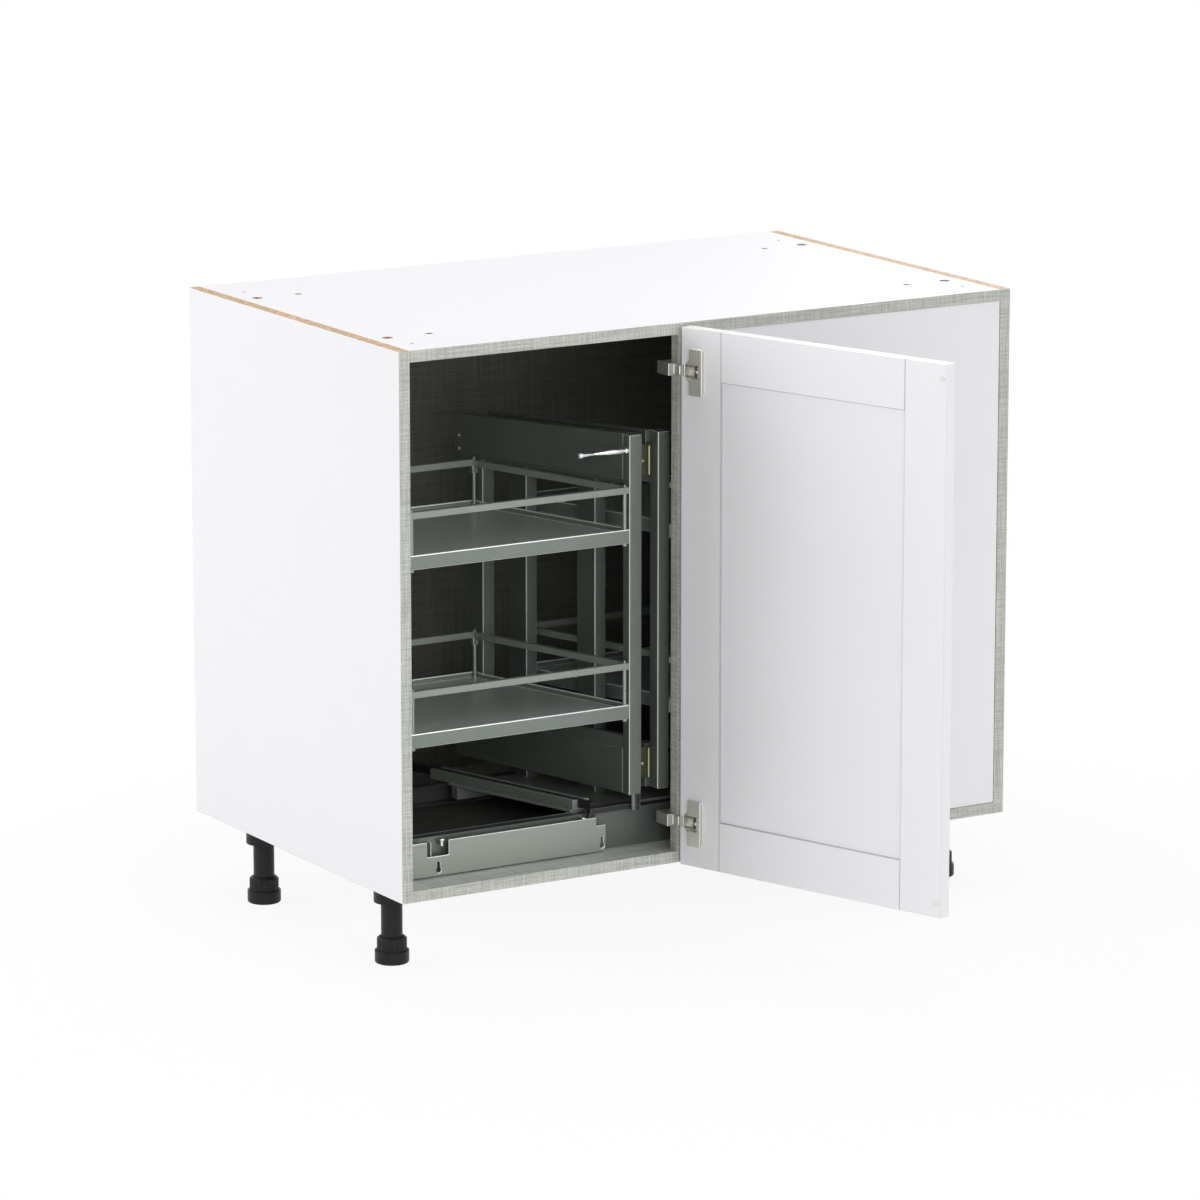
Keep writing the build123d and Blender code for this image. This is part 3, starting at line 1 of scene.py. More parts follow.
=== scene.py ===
import json
import math
import bmesh
import bpy
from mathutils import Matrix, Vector

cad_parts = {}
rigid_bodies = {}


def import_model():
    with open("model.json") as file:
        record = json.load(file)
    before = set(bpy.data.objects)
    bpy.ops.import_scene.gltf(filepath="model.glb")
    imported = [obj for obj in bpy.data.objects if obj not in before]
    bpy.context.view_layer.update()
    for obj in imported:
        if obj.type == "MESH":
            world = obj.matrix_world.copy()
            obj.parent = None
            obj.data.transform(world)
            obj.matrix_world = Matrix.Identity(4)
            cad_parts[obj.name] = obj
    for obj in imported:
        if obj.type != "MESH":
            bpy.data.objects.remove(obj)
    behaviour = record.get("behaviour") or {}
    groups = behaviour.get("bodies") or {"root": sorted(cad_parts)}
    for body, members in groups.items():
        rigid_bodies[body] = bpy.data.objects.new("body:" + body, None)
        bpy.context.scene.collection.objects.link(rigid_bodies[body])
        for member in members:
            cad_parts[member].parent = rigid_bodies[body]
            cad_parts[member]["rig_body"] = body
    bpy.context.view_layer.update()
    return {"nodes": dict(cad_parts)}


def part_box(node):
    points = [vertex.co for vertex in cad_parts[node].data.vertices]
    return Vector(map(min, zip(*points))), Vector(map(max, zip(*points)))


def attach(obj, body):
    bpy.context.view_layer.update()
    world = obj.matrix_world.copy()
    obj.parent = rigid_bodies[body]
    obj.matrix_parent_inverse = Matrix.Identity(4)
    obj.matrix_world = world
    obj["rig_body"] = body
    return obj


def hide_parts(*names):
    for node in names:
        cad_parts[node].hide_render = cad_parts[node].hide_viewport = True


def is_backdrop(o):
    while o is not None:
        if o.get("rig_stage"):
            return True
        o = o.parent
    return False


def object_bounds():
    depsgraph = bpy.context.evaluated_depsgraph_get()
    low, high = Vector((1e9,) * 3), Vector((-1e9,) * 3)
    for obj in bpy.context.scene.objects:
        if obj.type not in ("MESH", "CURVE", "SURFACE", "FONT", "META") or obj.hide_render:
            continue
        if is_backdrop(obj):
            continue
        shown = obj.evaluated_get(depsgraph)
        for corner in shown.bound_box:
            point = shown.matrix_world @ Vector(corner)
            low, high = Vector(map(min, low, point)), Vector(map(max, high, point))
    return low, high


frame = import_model()

# Places are given in millimetres from the carcass's left side, its front edge and the floor
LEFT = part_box("left_side")[0][0]
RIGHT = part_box("right_side")[1][0]
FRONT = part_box("edge_bands")[0][1]
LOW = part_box("left_side")[0][2]
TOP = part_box("left_side")[1][2]
BACK_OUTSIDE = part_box("back_panel")[1][1]
MM = 0.001
SKIN = 0.3 * MM


def at(x, y, z):
    """A point of the row frame from millimetres to the right, to the back and up."""
    return Vector((LEFT + x * MM, FRONT + y * MM, z * MM))


# Materials
class Wire:
    """A node's output. Arithmetic on it adds Math nodes."""

    def __init__(self, finish, socket):
        self.finish = finish
        self.socket = socket

    def maths(self, operation, first, second):
        return self.finish.node("ShaderNodeMath", {"operation": operation}, {0: first, 1: second})

    def __add__(self, other):
        return self.maths("ADD", self, other)

    def __sub__(self, other):
        return self.maths("SUBTRACT", self, other)

    def __mul__(self, other):
        return self.maths("MULTIPLY", self, other)

    def __rmul__(self, other):
        return self.maths("MULTIPLY", other, self)

    def __gt__(self, other):
        return self.maths("GREATER_THAN", self, other)

    def __lt__(self, other):
        return self.maths("LESS_THAN", self, other)


class Tree:
    """Nodes of a material or of the world, added one by one."""

    def __init__(self, tree):
        self.tree = tree

    def feed(self, socket, value):
        if isinstance(value, Wire):
            self.tree.links.new(value.socket, socket)
        else:
            socket.default_value = value

    def node(self, kind, settings=None, inputs=None, output=0):
        """Adds a node of any type and returns one of its outputs."""
        node = self.tree.nodes.new(kind)
        for name, value in (settings or {}).items():
            if name == "stops":
                while len(node.color_ramp.elements) < len(value):
                    node.color_ramp.elements.new(1)
                for element, (position, colour) in zip(node.color_ramp.elements, value):
                    element.position = position
                    element.color = (*colour, 1)
            else:
                setattr(node, name, value)
        for key, value in (inputs or {}).items():
            self.feed(node.inputs[key], value)
        return Wire(self, node.outputs[output])


class Finish(Tree):
    """A material with one shader, made of nodes."""

    def __init__(self, name, **constants):
        self.material = bpy.data.materials.new(name)
        self.material.use_nodes = True
        super().__init__(self.material.node_tree)
        self.shader = self.tree.nodes["Principled BSDF"]
        self.set(**constants)

    def set(self, **values):
        """Feeds the shader's sockets, whose names are written with underscores."""
        for name, value in values.items():
            self.feed(self.shader.inputs[name.replace("_", " ")], value)

    def place(self, scale=(1, 1, 1)):
        """Object coordinates, scaled along each axis."""
        point = self.node("ShaderNodeTexCoord", output="Object")
        return self.node("ShaderNodeMapping", inputs={"Vector": point, "Scale": scale})

    def axes(self, output="Object"):
        """The three parts of the object coordinates, or of the normal."""
        whole = self.node("ShaderNodeTexCoord", output=output)
        split = self.node("ShaderNodeSeparateXYZ", inputs={0: whole}).socket.node
        return [Wire(self, socket) for socket in split.outputs]

    def noise(self, scale, detail=2, stretch=(1, 1, 1), rough=0.5):
        inputs = {"Vector": self.place(stretch), "Scale": scale, "Detail": detail, "Roughness": rough}
        return self.node("ShaderNodeTexNoise", inputs=inputs, output="Fac")

    def ramp(self, value, *stops):
        return self.node("ShaderNodeValToRGB", {"stops": stops}, {0: value})

    def blend(self, factor, first, second):
        """A colour between two, by a mask."""
        first, second = [value if isinstance(value, Wire) else (*value, 1) for value in (first, second)]
        return self.node("ShaderNodeMix", {"data_type": "RGBA"}, {0: factor, 6: first, 7: second}, 2)

    def bump(self, height, distance, strength=1.0):
        inputs = {"Height": height, "Distance": distance, "Strength": strength}
        return self.node("ShaderNodeBump", inputs=inputs)


# Board finishes
WHITE_FOIL = (0.84, 0.84, 0.865)
LINEN_LIGHT = (0.61, 0.625, 0.58)
LINEN_DARK = (0.33, 0.345, 0.31)
PAINTED_SHADE_FOIL = (0.05, 0.05, 0.045)
PAINTED_SHADE_SHARE = 0.74
CHIP_LIGHT = (0.72, 0.47, 0.24)
CHIP_MIDDLE = (0.52, 0.31, 0.14)
CHIP_DARK = (0.27, 0.14, 0.06)
HARDBOARD = (0.42, 0.29, 0.17)
ALONG_THREADS = 14
ACROSS_THREADS = 700
THREAD_HEIGHT = 0.04 * MM
CHIPS_PER_METRE = 420
DUST_PER_METRE = 900
BORE_REACH = 15.5 * MM


def linen(finish):
    """Colour and relief of a foil printed and pressed like coarse linen."""
    threads = None
    for axis in range(3):
        stretch = [ACROSS_THREADS] * 3
        stretch[axis] = ALONG_THREADS
        strands = finish.noise(1, 1, stretch)
        threads = strands if threads is None else threads + strands
    weave = finish.ramp(threads * (1 / 3), (0.40, LINEN_DARK), (0.60, LINEN_LIGHT))
    return weave, finish.bump(threads, THREAD_HEIGHT, 0.5)


def chipboard(finish):
    """Colour of raw pressed chips."""
    spots = {"Vector": finish.place(), "Scale": CHIPS_PER_METRE}
    chips = finish.node("ShaderNodeTexVoronoi", inputs=spots, output="Color")
    grains = finish.node("ShaderNodeSeparateColor", inputs={0: chips})
    return finish.ramp(grains * 0.6 + finish.noise(DUST_PER_METRE, 3) * 0.4,
                       (0.25, CHIP_DARK), (0.5, CHIP_MIDDLE), (0.75, CHIP_LIGHT))


def board(name, white):
    """A foil-faced board, white where the mask says so and linen elsewhere."""
    finish = Finish(name, Roughness=0.42)
    weave, relief = linen(finish)
    x, y, z = finish.axes()
    colour = finish.blend(white(x, y, z), weave, WHITE_FOIL)
    finish.set(Base_Color=colour, Normal=relief)
    return finish, colour, z


# Finishes in general: a face counts as rounded by how far its normal is from the nearest axis
ROUNDED_FULLY = 0.80
ROUNDED_NOWHERE = 0.93
ALONG_ROLLING = 6
ACROSS_ROLLING = 900
CLOUDS_PER_METRE = 35
SMEARS_PER_METRE = 60
GRAINS_PER_METRE = 1500
TEXTURE_PER_METRE = 900


def rounded_edge(finish, turned_by=0):
    """One on the rounded edges of a piece whose faces run along the axes once it is turned back."""
    normal = finish.node("ShaderNodeTexCoord", output="Normal")
    turn = {"Vector": normal, "Rotation": (0, 0, -turned_by)}
    straight = finish.node("ShaderNodeMapping", {"vector_type": "VECTOR"}, turn)
    split = finish.node("ShaderNodeSeparateXYZ", inputs={0: straight}).socket.node
    largest = 0
    for socket in split.outputs:
        part = Wire(finish, socket)
        size = finish.node("ShaderNodeMath", {"operation": "ABSOLUTE"}, {0: part})
        largest = finish.node("ShaderNodeMath", {"operation": "MAXIMUM"}, {0: size, 1: largest})
    return finish.node("ShaderNodeMapRange", {"interpolation_type": "SMOOTHSTEP"},
                       {0: largest, 1: ROUNDED_FULLY, 2: ROUNDED_NOWHERE, 3: 1, 4: 0})


def spread(value, middle, width):
    """Takes a value between 0 and 1 to the same share of a range round a middle."""
    return value * width + (middle - width / 2)


def steel(name, colour, rough, metal, grain=0.02 * MM, upper=None, edge=None, lips=()):
    """Painted or plated sheet with a faint cloud in its colour and a fine grain. Its rounded edges and a
    band under each lip top get a painted highlight, and its upward faces may get a painted sheen.
    """
    finish = Finish(name, Metallic=metal)
    darker, lighter = [tuple(share * c for c in colour) for share in (0.92, 1.08)]
    clouded = finish.blend(finish.noise(CLOUDS_PER_METRE, 3), darker, lighter)
    # Painted sheen: upward faces take a lighter colour that stands for light reflected off them
    if upper:
        clouded = finish.blend(finish.axes("Normal")[2] > 0.9, clouded, upper)
    # Painted highlight on the rounded edges
    if edge:
        clouded = finish.blend(rounded_edge(finish), clouded, edge)
    # Painted highlight: a band just under each lip's top takes the edge colour
    for top in lips:
        height = finish.axes()[2]
        clouded = finish.blend((height > top - LIP_HIGHLIGHT_DEPTH) * (height < top + SKIN), clouded, edge)
    finish.set(Base_Color=clouded)
    finish.set(Roughness=spread(finish.noise(SMEARS_PER_METRE, 2), rough, 0.12))
    finish.set(Normal=finish.bump(finish.noise(GRAINS_PER_METRE, 2), grain, 0.4))
    return finish.material


def brushed(name, colour, rough, metal, edge=None, upper=None, corner=None):
    """Sheet rolled along X, with fine lines. Its rounded edges and top back corner may take a painted
    highlight, and its upward faces another colour: painted shade on the front rail, a painted highlight on
    the carriage plate.
    """
    finish = Finish(name, Metallic=metal)
    lines = finish.noise(1, 3, (ALONG_ROLLING, ACROSS_ROLLING, ACROSS_ROLLING))
    darker, lighter = [tuple(share * c for c in colour) for share in (0.94, 1.05)]
    streaked = finish.blend(lines, darker, lighter)
    # Painted highlight on the rounded edges
    if edge:
        streaked = finish.blend(rounded_edge(finish), streaked, edge)
    if upper:
        # Upward faces take the upper colour: painted shade on the front rail, a painted highlight on the
        # carriage plate
        streaked = finish.blend(finish.axes("Normal")[2] > 0.5, streaked, upper)
    if corner:
        # Painted highlight along the top back corner
        back, height = finish.axes()[1:]
        corner_highlight = (back > corner[1] - CORNER_HIGHLIGHT_DEPTH) * (height > corner[2] - CORNER_HIGHLIGHT_DEPTH)
        streaked = finish.blend(corner_highlight, streaked, edge)
    finish.set(Base_Color=streaked)
    finish.set(Roughness=spread(lines, rough, 0.16))
    finish.set(Normal=finish.bump(lines, 0.01 * MM, 0.4))
    return finish.material


def plastic(name, colour, rough, shine=0.5):
    """Moulded plastic with a slight mottle and a fine texture."""
    finish = Finish(name, Roughness=rough, Specular_IOR_Level=shine)
    lighter = tuple(1.5 * c if c < 0.1 else 1.06 * c for c in colour)
    finish.set(Base_Color=finish.blend(finish.noise(SMEARS_PER_METRE, 2), colour, lighter))
    finish.set(Normal=finish.bump(finish.noise(TEXTURE_PER_METRE, 2), 0.04 * MM, 0.5))
    return finish.material


# Carcass boards
FINISHES = {}
for node, edge, sign in (("left_side", LEFT, -1), ("right_side", RIGHT, 1)):
    finish, colour, z = board(f"{node}_foil", lambda x, y, z: (sign * x) > (sign * edge - SKIN))
    ends = (z > TOP - SKIN) + (z < LOW + SKIN)
    finish.set(Base_Color=finish.blend(ends, colour, chipboard(finish)))
    FINISHES[node] = finish.material


def outer_face(x, y, z):
    """White on the face that looks away from the inside."""
    return (z > TOP - SKIN) + (z < LOW + SKIN)


finish, colour, z = board("top_foil", outer_face)
bores = (z < TOP - SKIN) * (z > TOP - BORE_REACH)
finish.set(Base_Color=finish.blend(bores, colour, chipboard(finish)))
FINISHES["top_panel"] = finish.material
FINISHES["bottom_panel"] = board("bottom_foil", outer_face)[0].material

finish = Finish("linen_band", Roughness=0.38)
weave, relief = linen(finish)
finish.set(Base_Color=weave, Normal=relief)
FINISHES["edge_bands"] = FINISHES["centre_stile"] = finish.material

finish = Finish("back_foil", Roughness=0.5)
# Painted shade: the inside of the back is mostly a near black instead of its linen
inside = finish.blend(PAINTED_SHADE_SHARE, linen(finish)[0], PAINTED_SHADE_FOIL)
fibres = finish.blend(finish.noise(260, 4), HARDBOARD, tuple(0.8 * c for c in HARDBOARD))
finish.set(Base_Color=finish.blend(finish.axes()[1] > BACK_OUTSIDE - SKIN, inside, fibres))
FINISHES["back_panel"] = finish.material

finish = Finish("raw_wood", Roughness=0.7)
finish.set(Base_Color=chipboard(finish), Normal=finish.bump(finish.noise(500, 3), 0.1 * MM, 0.5))
FINISHES["back_rails"] = FINISHES["carcass_dowels"] = finish.material

# Door and blind panel: joints are measured along the shut door from its axis, and rails from the floor
DOOR_ANGLE = math.radians(109)
DOOR_AXIS = at(449.1, -11.5, 0)
DOOR_JOINTS = (-379.1 * MM, -64.1 * MM)
DOOR_RAILS = (182 * MM, 802 * MM)
JOINT_HALF = 0.8 * MM
HINGE_EDGE = -3 * MM
# Painted shade: a grey for the door's joints and for the rounded edges of the door and blind panel
PAINTED_SHADE_GREY = (0.50, 0.50, 0.52)
WHITE_LACQUER = (0.84, 0.84, 0.86)


def joint_lines(finish):
    """A mask of painted shade along the joints between the door's bars and panel, and the distance along
    the door.
    """
    point = finish.node("ShaderNodeTexCoord", output="Object")
    turn = {0: point, 1: DOOR_AXIS, 3: -DOOR_ANGLE}
    shut = finish.node("ShaderNodeVectorRotate", {"rotation_type": "Z_AXIS"}, turn)
    split = finish.node("ShaderNodeSeparateXYZ", inputs={0: shut}).socket.node
    along = Wire(finish, split.outputs["X"]) - DOOR_AXIS.x
    height = Wire(finish, split.outputs["Z"])
    lines = 0
    for joint in DOOR_JOINTS:
        lines = (along > joint - JOINT_HALF) * (along < joint + JOINT_HALF) + lines
    between = (along > DOOR_JOINTS[0]) * (along < DOOR_JOINTS[1])
    for rail in DOOR_RAILS:
        lines = (height > rail - JOINT_HALF) * (height < rail + JOINT_HALF) * between + lines
    return lines, along


DOOR_BARS = ("door_hinge_stile", "door_lock_stile", "door_top_rail", "door_bottom_rail")
for name, angle, nodes in (("door_lacquer", DOOR_ANGLE, (*DOOR_BARS, "door_panel")),
                           ("blind_lacquer", 0, ("blind_panel",))):
    finish = Finish(name, Roughness=0.30, Coat_Weight=0.35, Coat_Roughness=0.14)
    cloud = finish.blend(finish.noise(3, 2), WHITE_LACQUER, tuple(0.975 * c for c in WHITE_LACQUER))
    # Painted shade: grey on the rounded edges, except the door's hinge edge, and along the door's joints
    shade = rounded_edge(finish, angle)
    if angle:
        lines, along = joint_lines(finish)
        shade = shade * (along < HINGE_EDGE) + lines
    finish.set(Base_Color=finish.blend(shade, cloud, PAINTED_SHADE_GREY))
    finish.set(Normal=finish.bump(finish.noise(240, 2), 0.02 * MM, 0.35))
    for node in nodes:
        FINISHES[node] = finish.material

# Corner fitting, feet and hinges
# Edge colours are painted highlights: a lighter colour on the rounded edges stands for light caught there
SHEET_EDGE_HIGHLIGHT = (0.72, 0.78, 0.73)
BRIGHT_EDGE_HIGHLIGHT = (0.92, 0.96, 0.93)
BEAM_EDGE_HIGHLIGHT = (0.24, 0.265, 0.245)
DARK_EDGE_HIGHLIGHT = (0.20, 0.22, 0.205)
PALE_EDGE_HIGHLIGHT = (0.85, 0.88, 0.85)
# Painted sheen on the trays' upward faces
TRAY_FLOOR_SHEEN = (0.58, 0.62, 0.59)
# Painted shade on the front rail's upward faces
RAIL_TOP_SHADE = (0.075, 0.083, 0.076)
# Tops of the tray lips, under which a band is a painted highlight
LIP_TOPS = [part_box(node)[1][2] for node in ("front_lower_tray", "front_upper_tray")]
LIP_HIGHLIGHT_DEPTH = 1.4 * MM
# The front rail's top back corner, along which a band is a painted highlight
RAIL_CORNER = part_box("front_rail")[1]
CORNER_HIGHLIGHT_DEPTH = 2.2 * MM
FRAME_NODES = ("front_post", "front_back_post", "rear_front_post", "rear_uprights", "rear_end_posts")
BEAM_NODES = ("front_upper_beam", "front_lower_beam", "rear_upper_beam", "rear_lower_beam")
GALLERY_NODES = ("front_galleries", "rear_galleries")
TRAY_NODES = ("front_upper_tray", "front_lower_tray", "rear_upper_tray", "rear_lower_tray")
BASE_NODES = ("rear_base_plate", "rear_cross_bars", "guide_channel")
RUNNER_NODES = ("runner_outers", "runner_middles", "runner_inners")
LEG_NODES = ("leg_sockets", "leg_tubes", "foot_front_left", "foot_back_left", "foot_front_right",
             "foot_back_right")
WHEEL_NODES = ("wheelset_left", "wheelset_right")
ARM_NODES = ("pivot_arm", "pivot_pin", "guide_blade")
for nodes, material in (
        (FRAME_NODES, steel("frame_paint", (0.150, 0.168, 0.152), 0.36, 0.35, edge=SHEET_EDGE_HIGHLIGHT)),
        (BEAM_NODES, steel("beam_paint", (0.110, 0.123, 0.110), 0.36, 0.35, edge=BEAM_EDGE_HIGHLIGHT)),
        (GALLERY_NODES, steel("gallery_paint", (0.27, 0.30, 0.272), 0.32, 0.4, edge=BRIGHT_EDGE_HIGHLIGHT)),
        (TRAY_NODES, steel("tray_paint", (0.205, 0.228, 0.209), 0.32, 0.4, upper=TRAY_FLOOR_SHEEN,
                           edge=BRIGHT_EDGE_HIGHLIGHT, lips=LIP_TOPS)),
        (("front_rail",), brushed("rail_sheet", (0.14, 0.155, 0.141), 0.38, 0.5, BRIGHT_EDGE_HIGHLIGHT,
                                  RAIL_TOP_SHADE, RAIL_CORNER)),
        # Rear rail: a darker copy of the rail's sheet, painted shade for its place inside
        (("rear_rail",), brushed("painted_shade_sheet", (0.06, 0.067, 0.06), 0.42, 0.4, SHEET_EDGE_HIGHLIGHT)),
        (BASE_NODES, brushed("base_sheet", (0.26, 0.285, 0.26), 0.40, 0.4, SHEET_EDGE_HIGHLIGHT)),
        # Carriage plate: its rounded edges and upward faces take a painted highlight
        (("carriage_plate",), brushed("carriage_sheet", (0.302, 0.325, 0.293), 0.42, 0.35,
                                      BRIGHT_EDGE_HIGHLIGHT, BRIGHT_EDGE_HIGHLIGHT)),
        (ARM_NODES, steel("dark_paint", (0.012, 0.013, 0.012), 0.5, 0.1, edge=DARK_EDGE_HIGHLIGHT)),
        (RUNNER_NODES, brushed("runner_zinc", (0.50, 0.51, 0.50), 0.33, 0.9)),
        (LEG_NODES, plastic("black_plastic", (0.011, 0.011, 0.0115), 0.36, 0.2)),
        (("floor_cover",), plastic("dark_mat", (0.045, 0.045, 0.042), 0.5)),
        (WHEEL_NODES, plastic("wheel_plastic", (0.06, 0.06, 0.06), 0.45)),
        (("carriage_buffers",), steel("bright_zinc", (0.72, 0.74, 0.72), 0.25, 0.95)),
        (("door_bumpers",), plastic("white_plastic", (0.72, 0.72, 0.72), 0.4)),
        (("hinge_arms", "hinge_plates", "hinge_cup_screws", "fixing_screws"),
         steel("nickel", (0.44, 0.43, 0.395), 0.36, 0.8, edge=PALE_EDGE_HIGHLIGHT)),
        # Hinge cups and the hinge frame and tongue: a lighter copy of the nickel, painted light where the
        # cups are lit
        (("hinge_cups",), steel("painted_light_nickel", (0.60, 0.585, 0.535), 0.38, 0.7, edge=PALE_EDGE_HIGHLIGHT)),
        (("pull_knob",), steel("chrome", (0.84, 0.84, 0.84), 0.12, 1.0, 0.004 * MM)),
        (("closing_blocks",), steel("dull_brass", (0.085, 0.085, 0.045), 0.4, 0.6))):
    for node in nodes:
        FINISHES[node] = material
for node, material in FINISHES.items():
    slots = frame["nodes"][node].data.materials
    slots.clear()
    slots.append(material)
LIT_NICKEL = FINISHES["hinge_cups"]
GALLERY = FINISHES["front_galleries"]
BRIGHT = FINISHES["carriage_buffers"]
DARK_BRASS = steel("dark_brass", (0.10, 0.092, 0.06), 0.4, 0.6, edge=DARK_EDGE_HIGHLIGHT)
BRASS = steel("bright_brass", (0.42, 0.40, 0.27), 0.3, 0.8)
ROD = steel("rod_zinc", (0.30, 0.33, 0.305), 0.3, 0.6)
CAP = plastic("cap_plastic", (0.42, 0.45, 0.42), 0.35)


# Ways to make a piece
WELD = 0.001 * MM


def clear():
    """Leaves nothing selected, because an operator acts on all that is."""
    if bpy.context.mode != "OBJECT":
        bpy.ops.object.mode_set(mode="OBJECT")
    bpy.ops.object.select_all(action="DESELECT")


def take(piece):
    """Selects one piece, for the operators that follow."""
    clear()
    piece.select_set(True)
    bpy.context.view_layer.objects.active = piece


def settle(piece):
    """Puts a piece's place in its mesh and closes it with its faces outwards."""
    take(piece)
    bpy.ops.object.transform_apply(location=True, rotation=True, scale=True)
    bpy.ops.object.mode_set(mode="EDIT")
    bpy.ops.mesh.select_all(action="SELECT")
    bpy.ops.mesh.remove_doubles(threshold=WELD)
    bpy.ops.mesh.normals_make_consistent(inside=False)
    bpy.ops.object.mode_set(mode="OBJECT")
    bpy.ops.object.shade_smooth_by_angle(angle=math.radians(35))
    return piece


def round_edges(piece, width, segments=2, clamp=True):
    """Rounds every edge that turns by more than 30 degrees and keeps the faces between them flat."""
    take(piece)
    bevel = piece.modifiers.new("rounding", "BEVEL")
    bevel.width = width * MM
    bevel.segments = segments
    bevel.limit_method = "ANGLE"
    bevel.angle_limit = math.radians(30)
    bevel.use_clamp_overlap = clamp
    bpy.ops.object.modifier_apply(modifier="rounding")
    bpy.ops.object.shade_smooth_by_angle(angle=math.radians(50))
    weighting = piece.modifiers.new("flat_faces", "WEIGHTED_NORMAL")
    weighting.keep_sharp = True
    weighting.weight = 100
    bpy.ops.object.modifier_apply(modifier="flat_faces")


def finish_piece(piece, body, material):
    """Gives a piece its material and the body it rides."""
    piece.data.materials.clear()
    piece.data.materials.append(material)
    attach(piece, body)


def ease(node, width, clamp=True):
    """A copy of a CAD node with its edges rounded, which stands for the node."""
    source = frame["nodes"][node]
    piece = bpy.data.objects.new(f"{node}_eased", source.data.copy())
    bpy.context.collection.objects.link(piece)
    take(piece)
    bpy.ops.object.mode_set(mode="EDIT")
    bpy.ops.mesh.select_all(action="SELECT")
    bpy.ops.mesh.remove_doubles(threshold=WELD)
    if node in RINGED:
        bpy.ops.mesh.tris_convert_to_quads()
    else:
        bpy.ops.mesh.dissolve_limited(angle_limit=math.radians(1))
    bpy.ops.object.mode_set(mode="OBJECT")
    round_edges(piece, width, clamp=clamp)
    finish_piece(piece, source["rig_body"], FINISHES[node])
    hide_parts(node)


def copies(model, places, name, body, material):
    """Copies of a piece that was modelled at the frame's middle, each with its own mesh."""
    pieces = []
    for number, place in enumerate(places):
        mesh = model.data.copy()
        for vertex in mesh.vertices:
            vertex.co += Vector(place)
        piece = bpy.data.objects.new(f"{name}_{number + 1}", mesh)
        bpy.context.collection.objects.link(piece)
        finish_piece(piece, body, material)
        pieces.append(piece)
    bpy.data.objects.remove(model)
    return pieces


def turned(name, rings, axis=(0, 0, 1), origin=(0, 0, 0), sides=24):
    """A round piece raised from a disc: each ring is a height along the axis and a radius, in mm."""
    axis, origin = Vector(axis), Vector(origin)
    clear()
    (height, radius), *others = rings
    centre = origin + axis * height * MM
    turn = axis.to_track_quat("Z", "Y").to_euler()
    bpy.ops.mesh.primitive_circle_add(vertices=sides, radius=radius * MM, fill_type="NGON",
                                      location=centre, rotation=turn)
    piece = bpy.context.active_object
    piece.name = name
    bpy.ops.object.mode_set(mode="EDIT")
    bpy.ops.mesh.select_all(action="SELECT")
    for next_height, next_radius in others:
        bpy.ops.mesh.extrude_region_move(
            TRANSFORM_OT_translate={"value": axis * (next_height - height) * MM})
        height = next_height
        if next_radius != radius:
            bpy.ops.transform.resize(value=(next_radius / radius,) * 3,
                                     center_override=origin + axis * height * MM)
            radius = next_radius
    bpy.ops.object.mode_set(mode="OBJECT")
    return settle(piece)


def block(name, low, high, rounding, segments=2):
    """A bar between two corners, in mm, with its edges rounded unless the rounding is 0."""
    low, high = Vector(low) * MM, Vector(high) * MM
    clear()
    bpy.ops.mesh.primitive_cube_add(size=1, location=(low + high) / 2, scale=high - low)
    piece = bpy.context.active_object
    piece.name = name
    settle(piece)
    if rounding:
        round_edges(piece, rounding, segments)
    return piece


# Rounded copies of the CAD nodes, with the size of the rounding in mm. The ringed ones have faces
# with a hole in them, which stay in parts, and on the unclamped ones each edge gets its full size.
RINGED = (*GALLERY_NODES, *TRAY_NODES)
UNCLAMPED = (*FRAME_NODES, *BEAM_NODES, *TRAY_NODES, "carriage_plate", "pivot_arm")
BOARD_NODES = ("left_side", "right_side", "top_panel", "bottom_panel", "blind_panel")
for nodes, width in (
        (FRAME_NODES, 1.9),
        (BEAM_NODES, 0.9),
        (GALLERY_NODES, 1.2),
        (TRAY_NODES, 1.2),
        (("front_rail", "rear_rail"), 0.5),
        (BASE_NODES, 0.6),
        (("carriage_plate",), 1.3),
        (("pivot_arm",), 0.8),
        (("hinge_arms",), 1.2),
        (("hinge_plates", "hinge_cups"), 0.4),
        (("closing_blocks",), 1.2),
        (DOOR_BARS, 0.9),
        (BOARD_NODES, 0.35),
        (LEG_NODES, 0.7),
        (WHEEL_NODES, 0.6)):
    for node in nodes:
        ease(node, width, clamp=node not in UNCLAMPED)

# Rods of the guard rings, with their nuts, collars and caps, and a clip on a corner of each front ring
TRAY_BOTTOMS = (317, 566)
CLIP_CORNER = (301.4, 325.1)
CLIP_HALF = 4.5
CLIP_SPAN = (60, 70.4)
ROD_PROFILE = ((-4, 3.2), (-3.4, 3.8), (-0.4, 3.8), (-0.1, 3.4), (-0.1, 2.95), (11.9, 2.95), (11.9, 4.3),
               (14.6, 4.3), (15.4, 3.6), (15.4, 2.95), (79.4, 2.95), (79.4, 2.2), (81.6, 2.2), (82.6, 1.3))
FRONT_RODS = ((41.1, 42.9), (379.1, 42.9), (194.8, 325.1), CLIP_CORNER)
REAR_RODS = ((469.1, 46.9), (694.9, 46.9), (920.1, 46.9), (382.5, 330.1), (694.9, 330.1), (920.1, 330.1))
for unit, rods in (("front", FRONT_RODS), ("rear", REAR_RODS)):
    copies(turned("rod", ROD_PROFILE, sides=16), [at(x, y, z) for x, y in rods for z in TRAY_BOTTOMS],
           f"{unit}_rod", f"{unit}_unit", ROD)
clip = block("clip", (-CLIP_HALF, -CLIP_HALF, CLIP_SPAN[0]), (CLIP_HALF, CLIP_HALF, CLIP_SPAN[1]), 1)
copies(clip, [at(*CLIP_CORNER, z) for z in TRAY_BOTTOMS], "ring_clip", "front_unit",
       GALLERY)

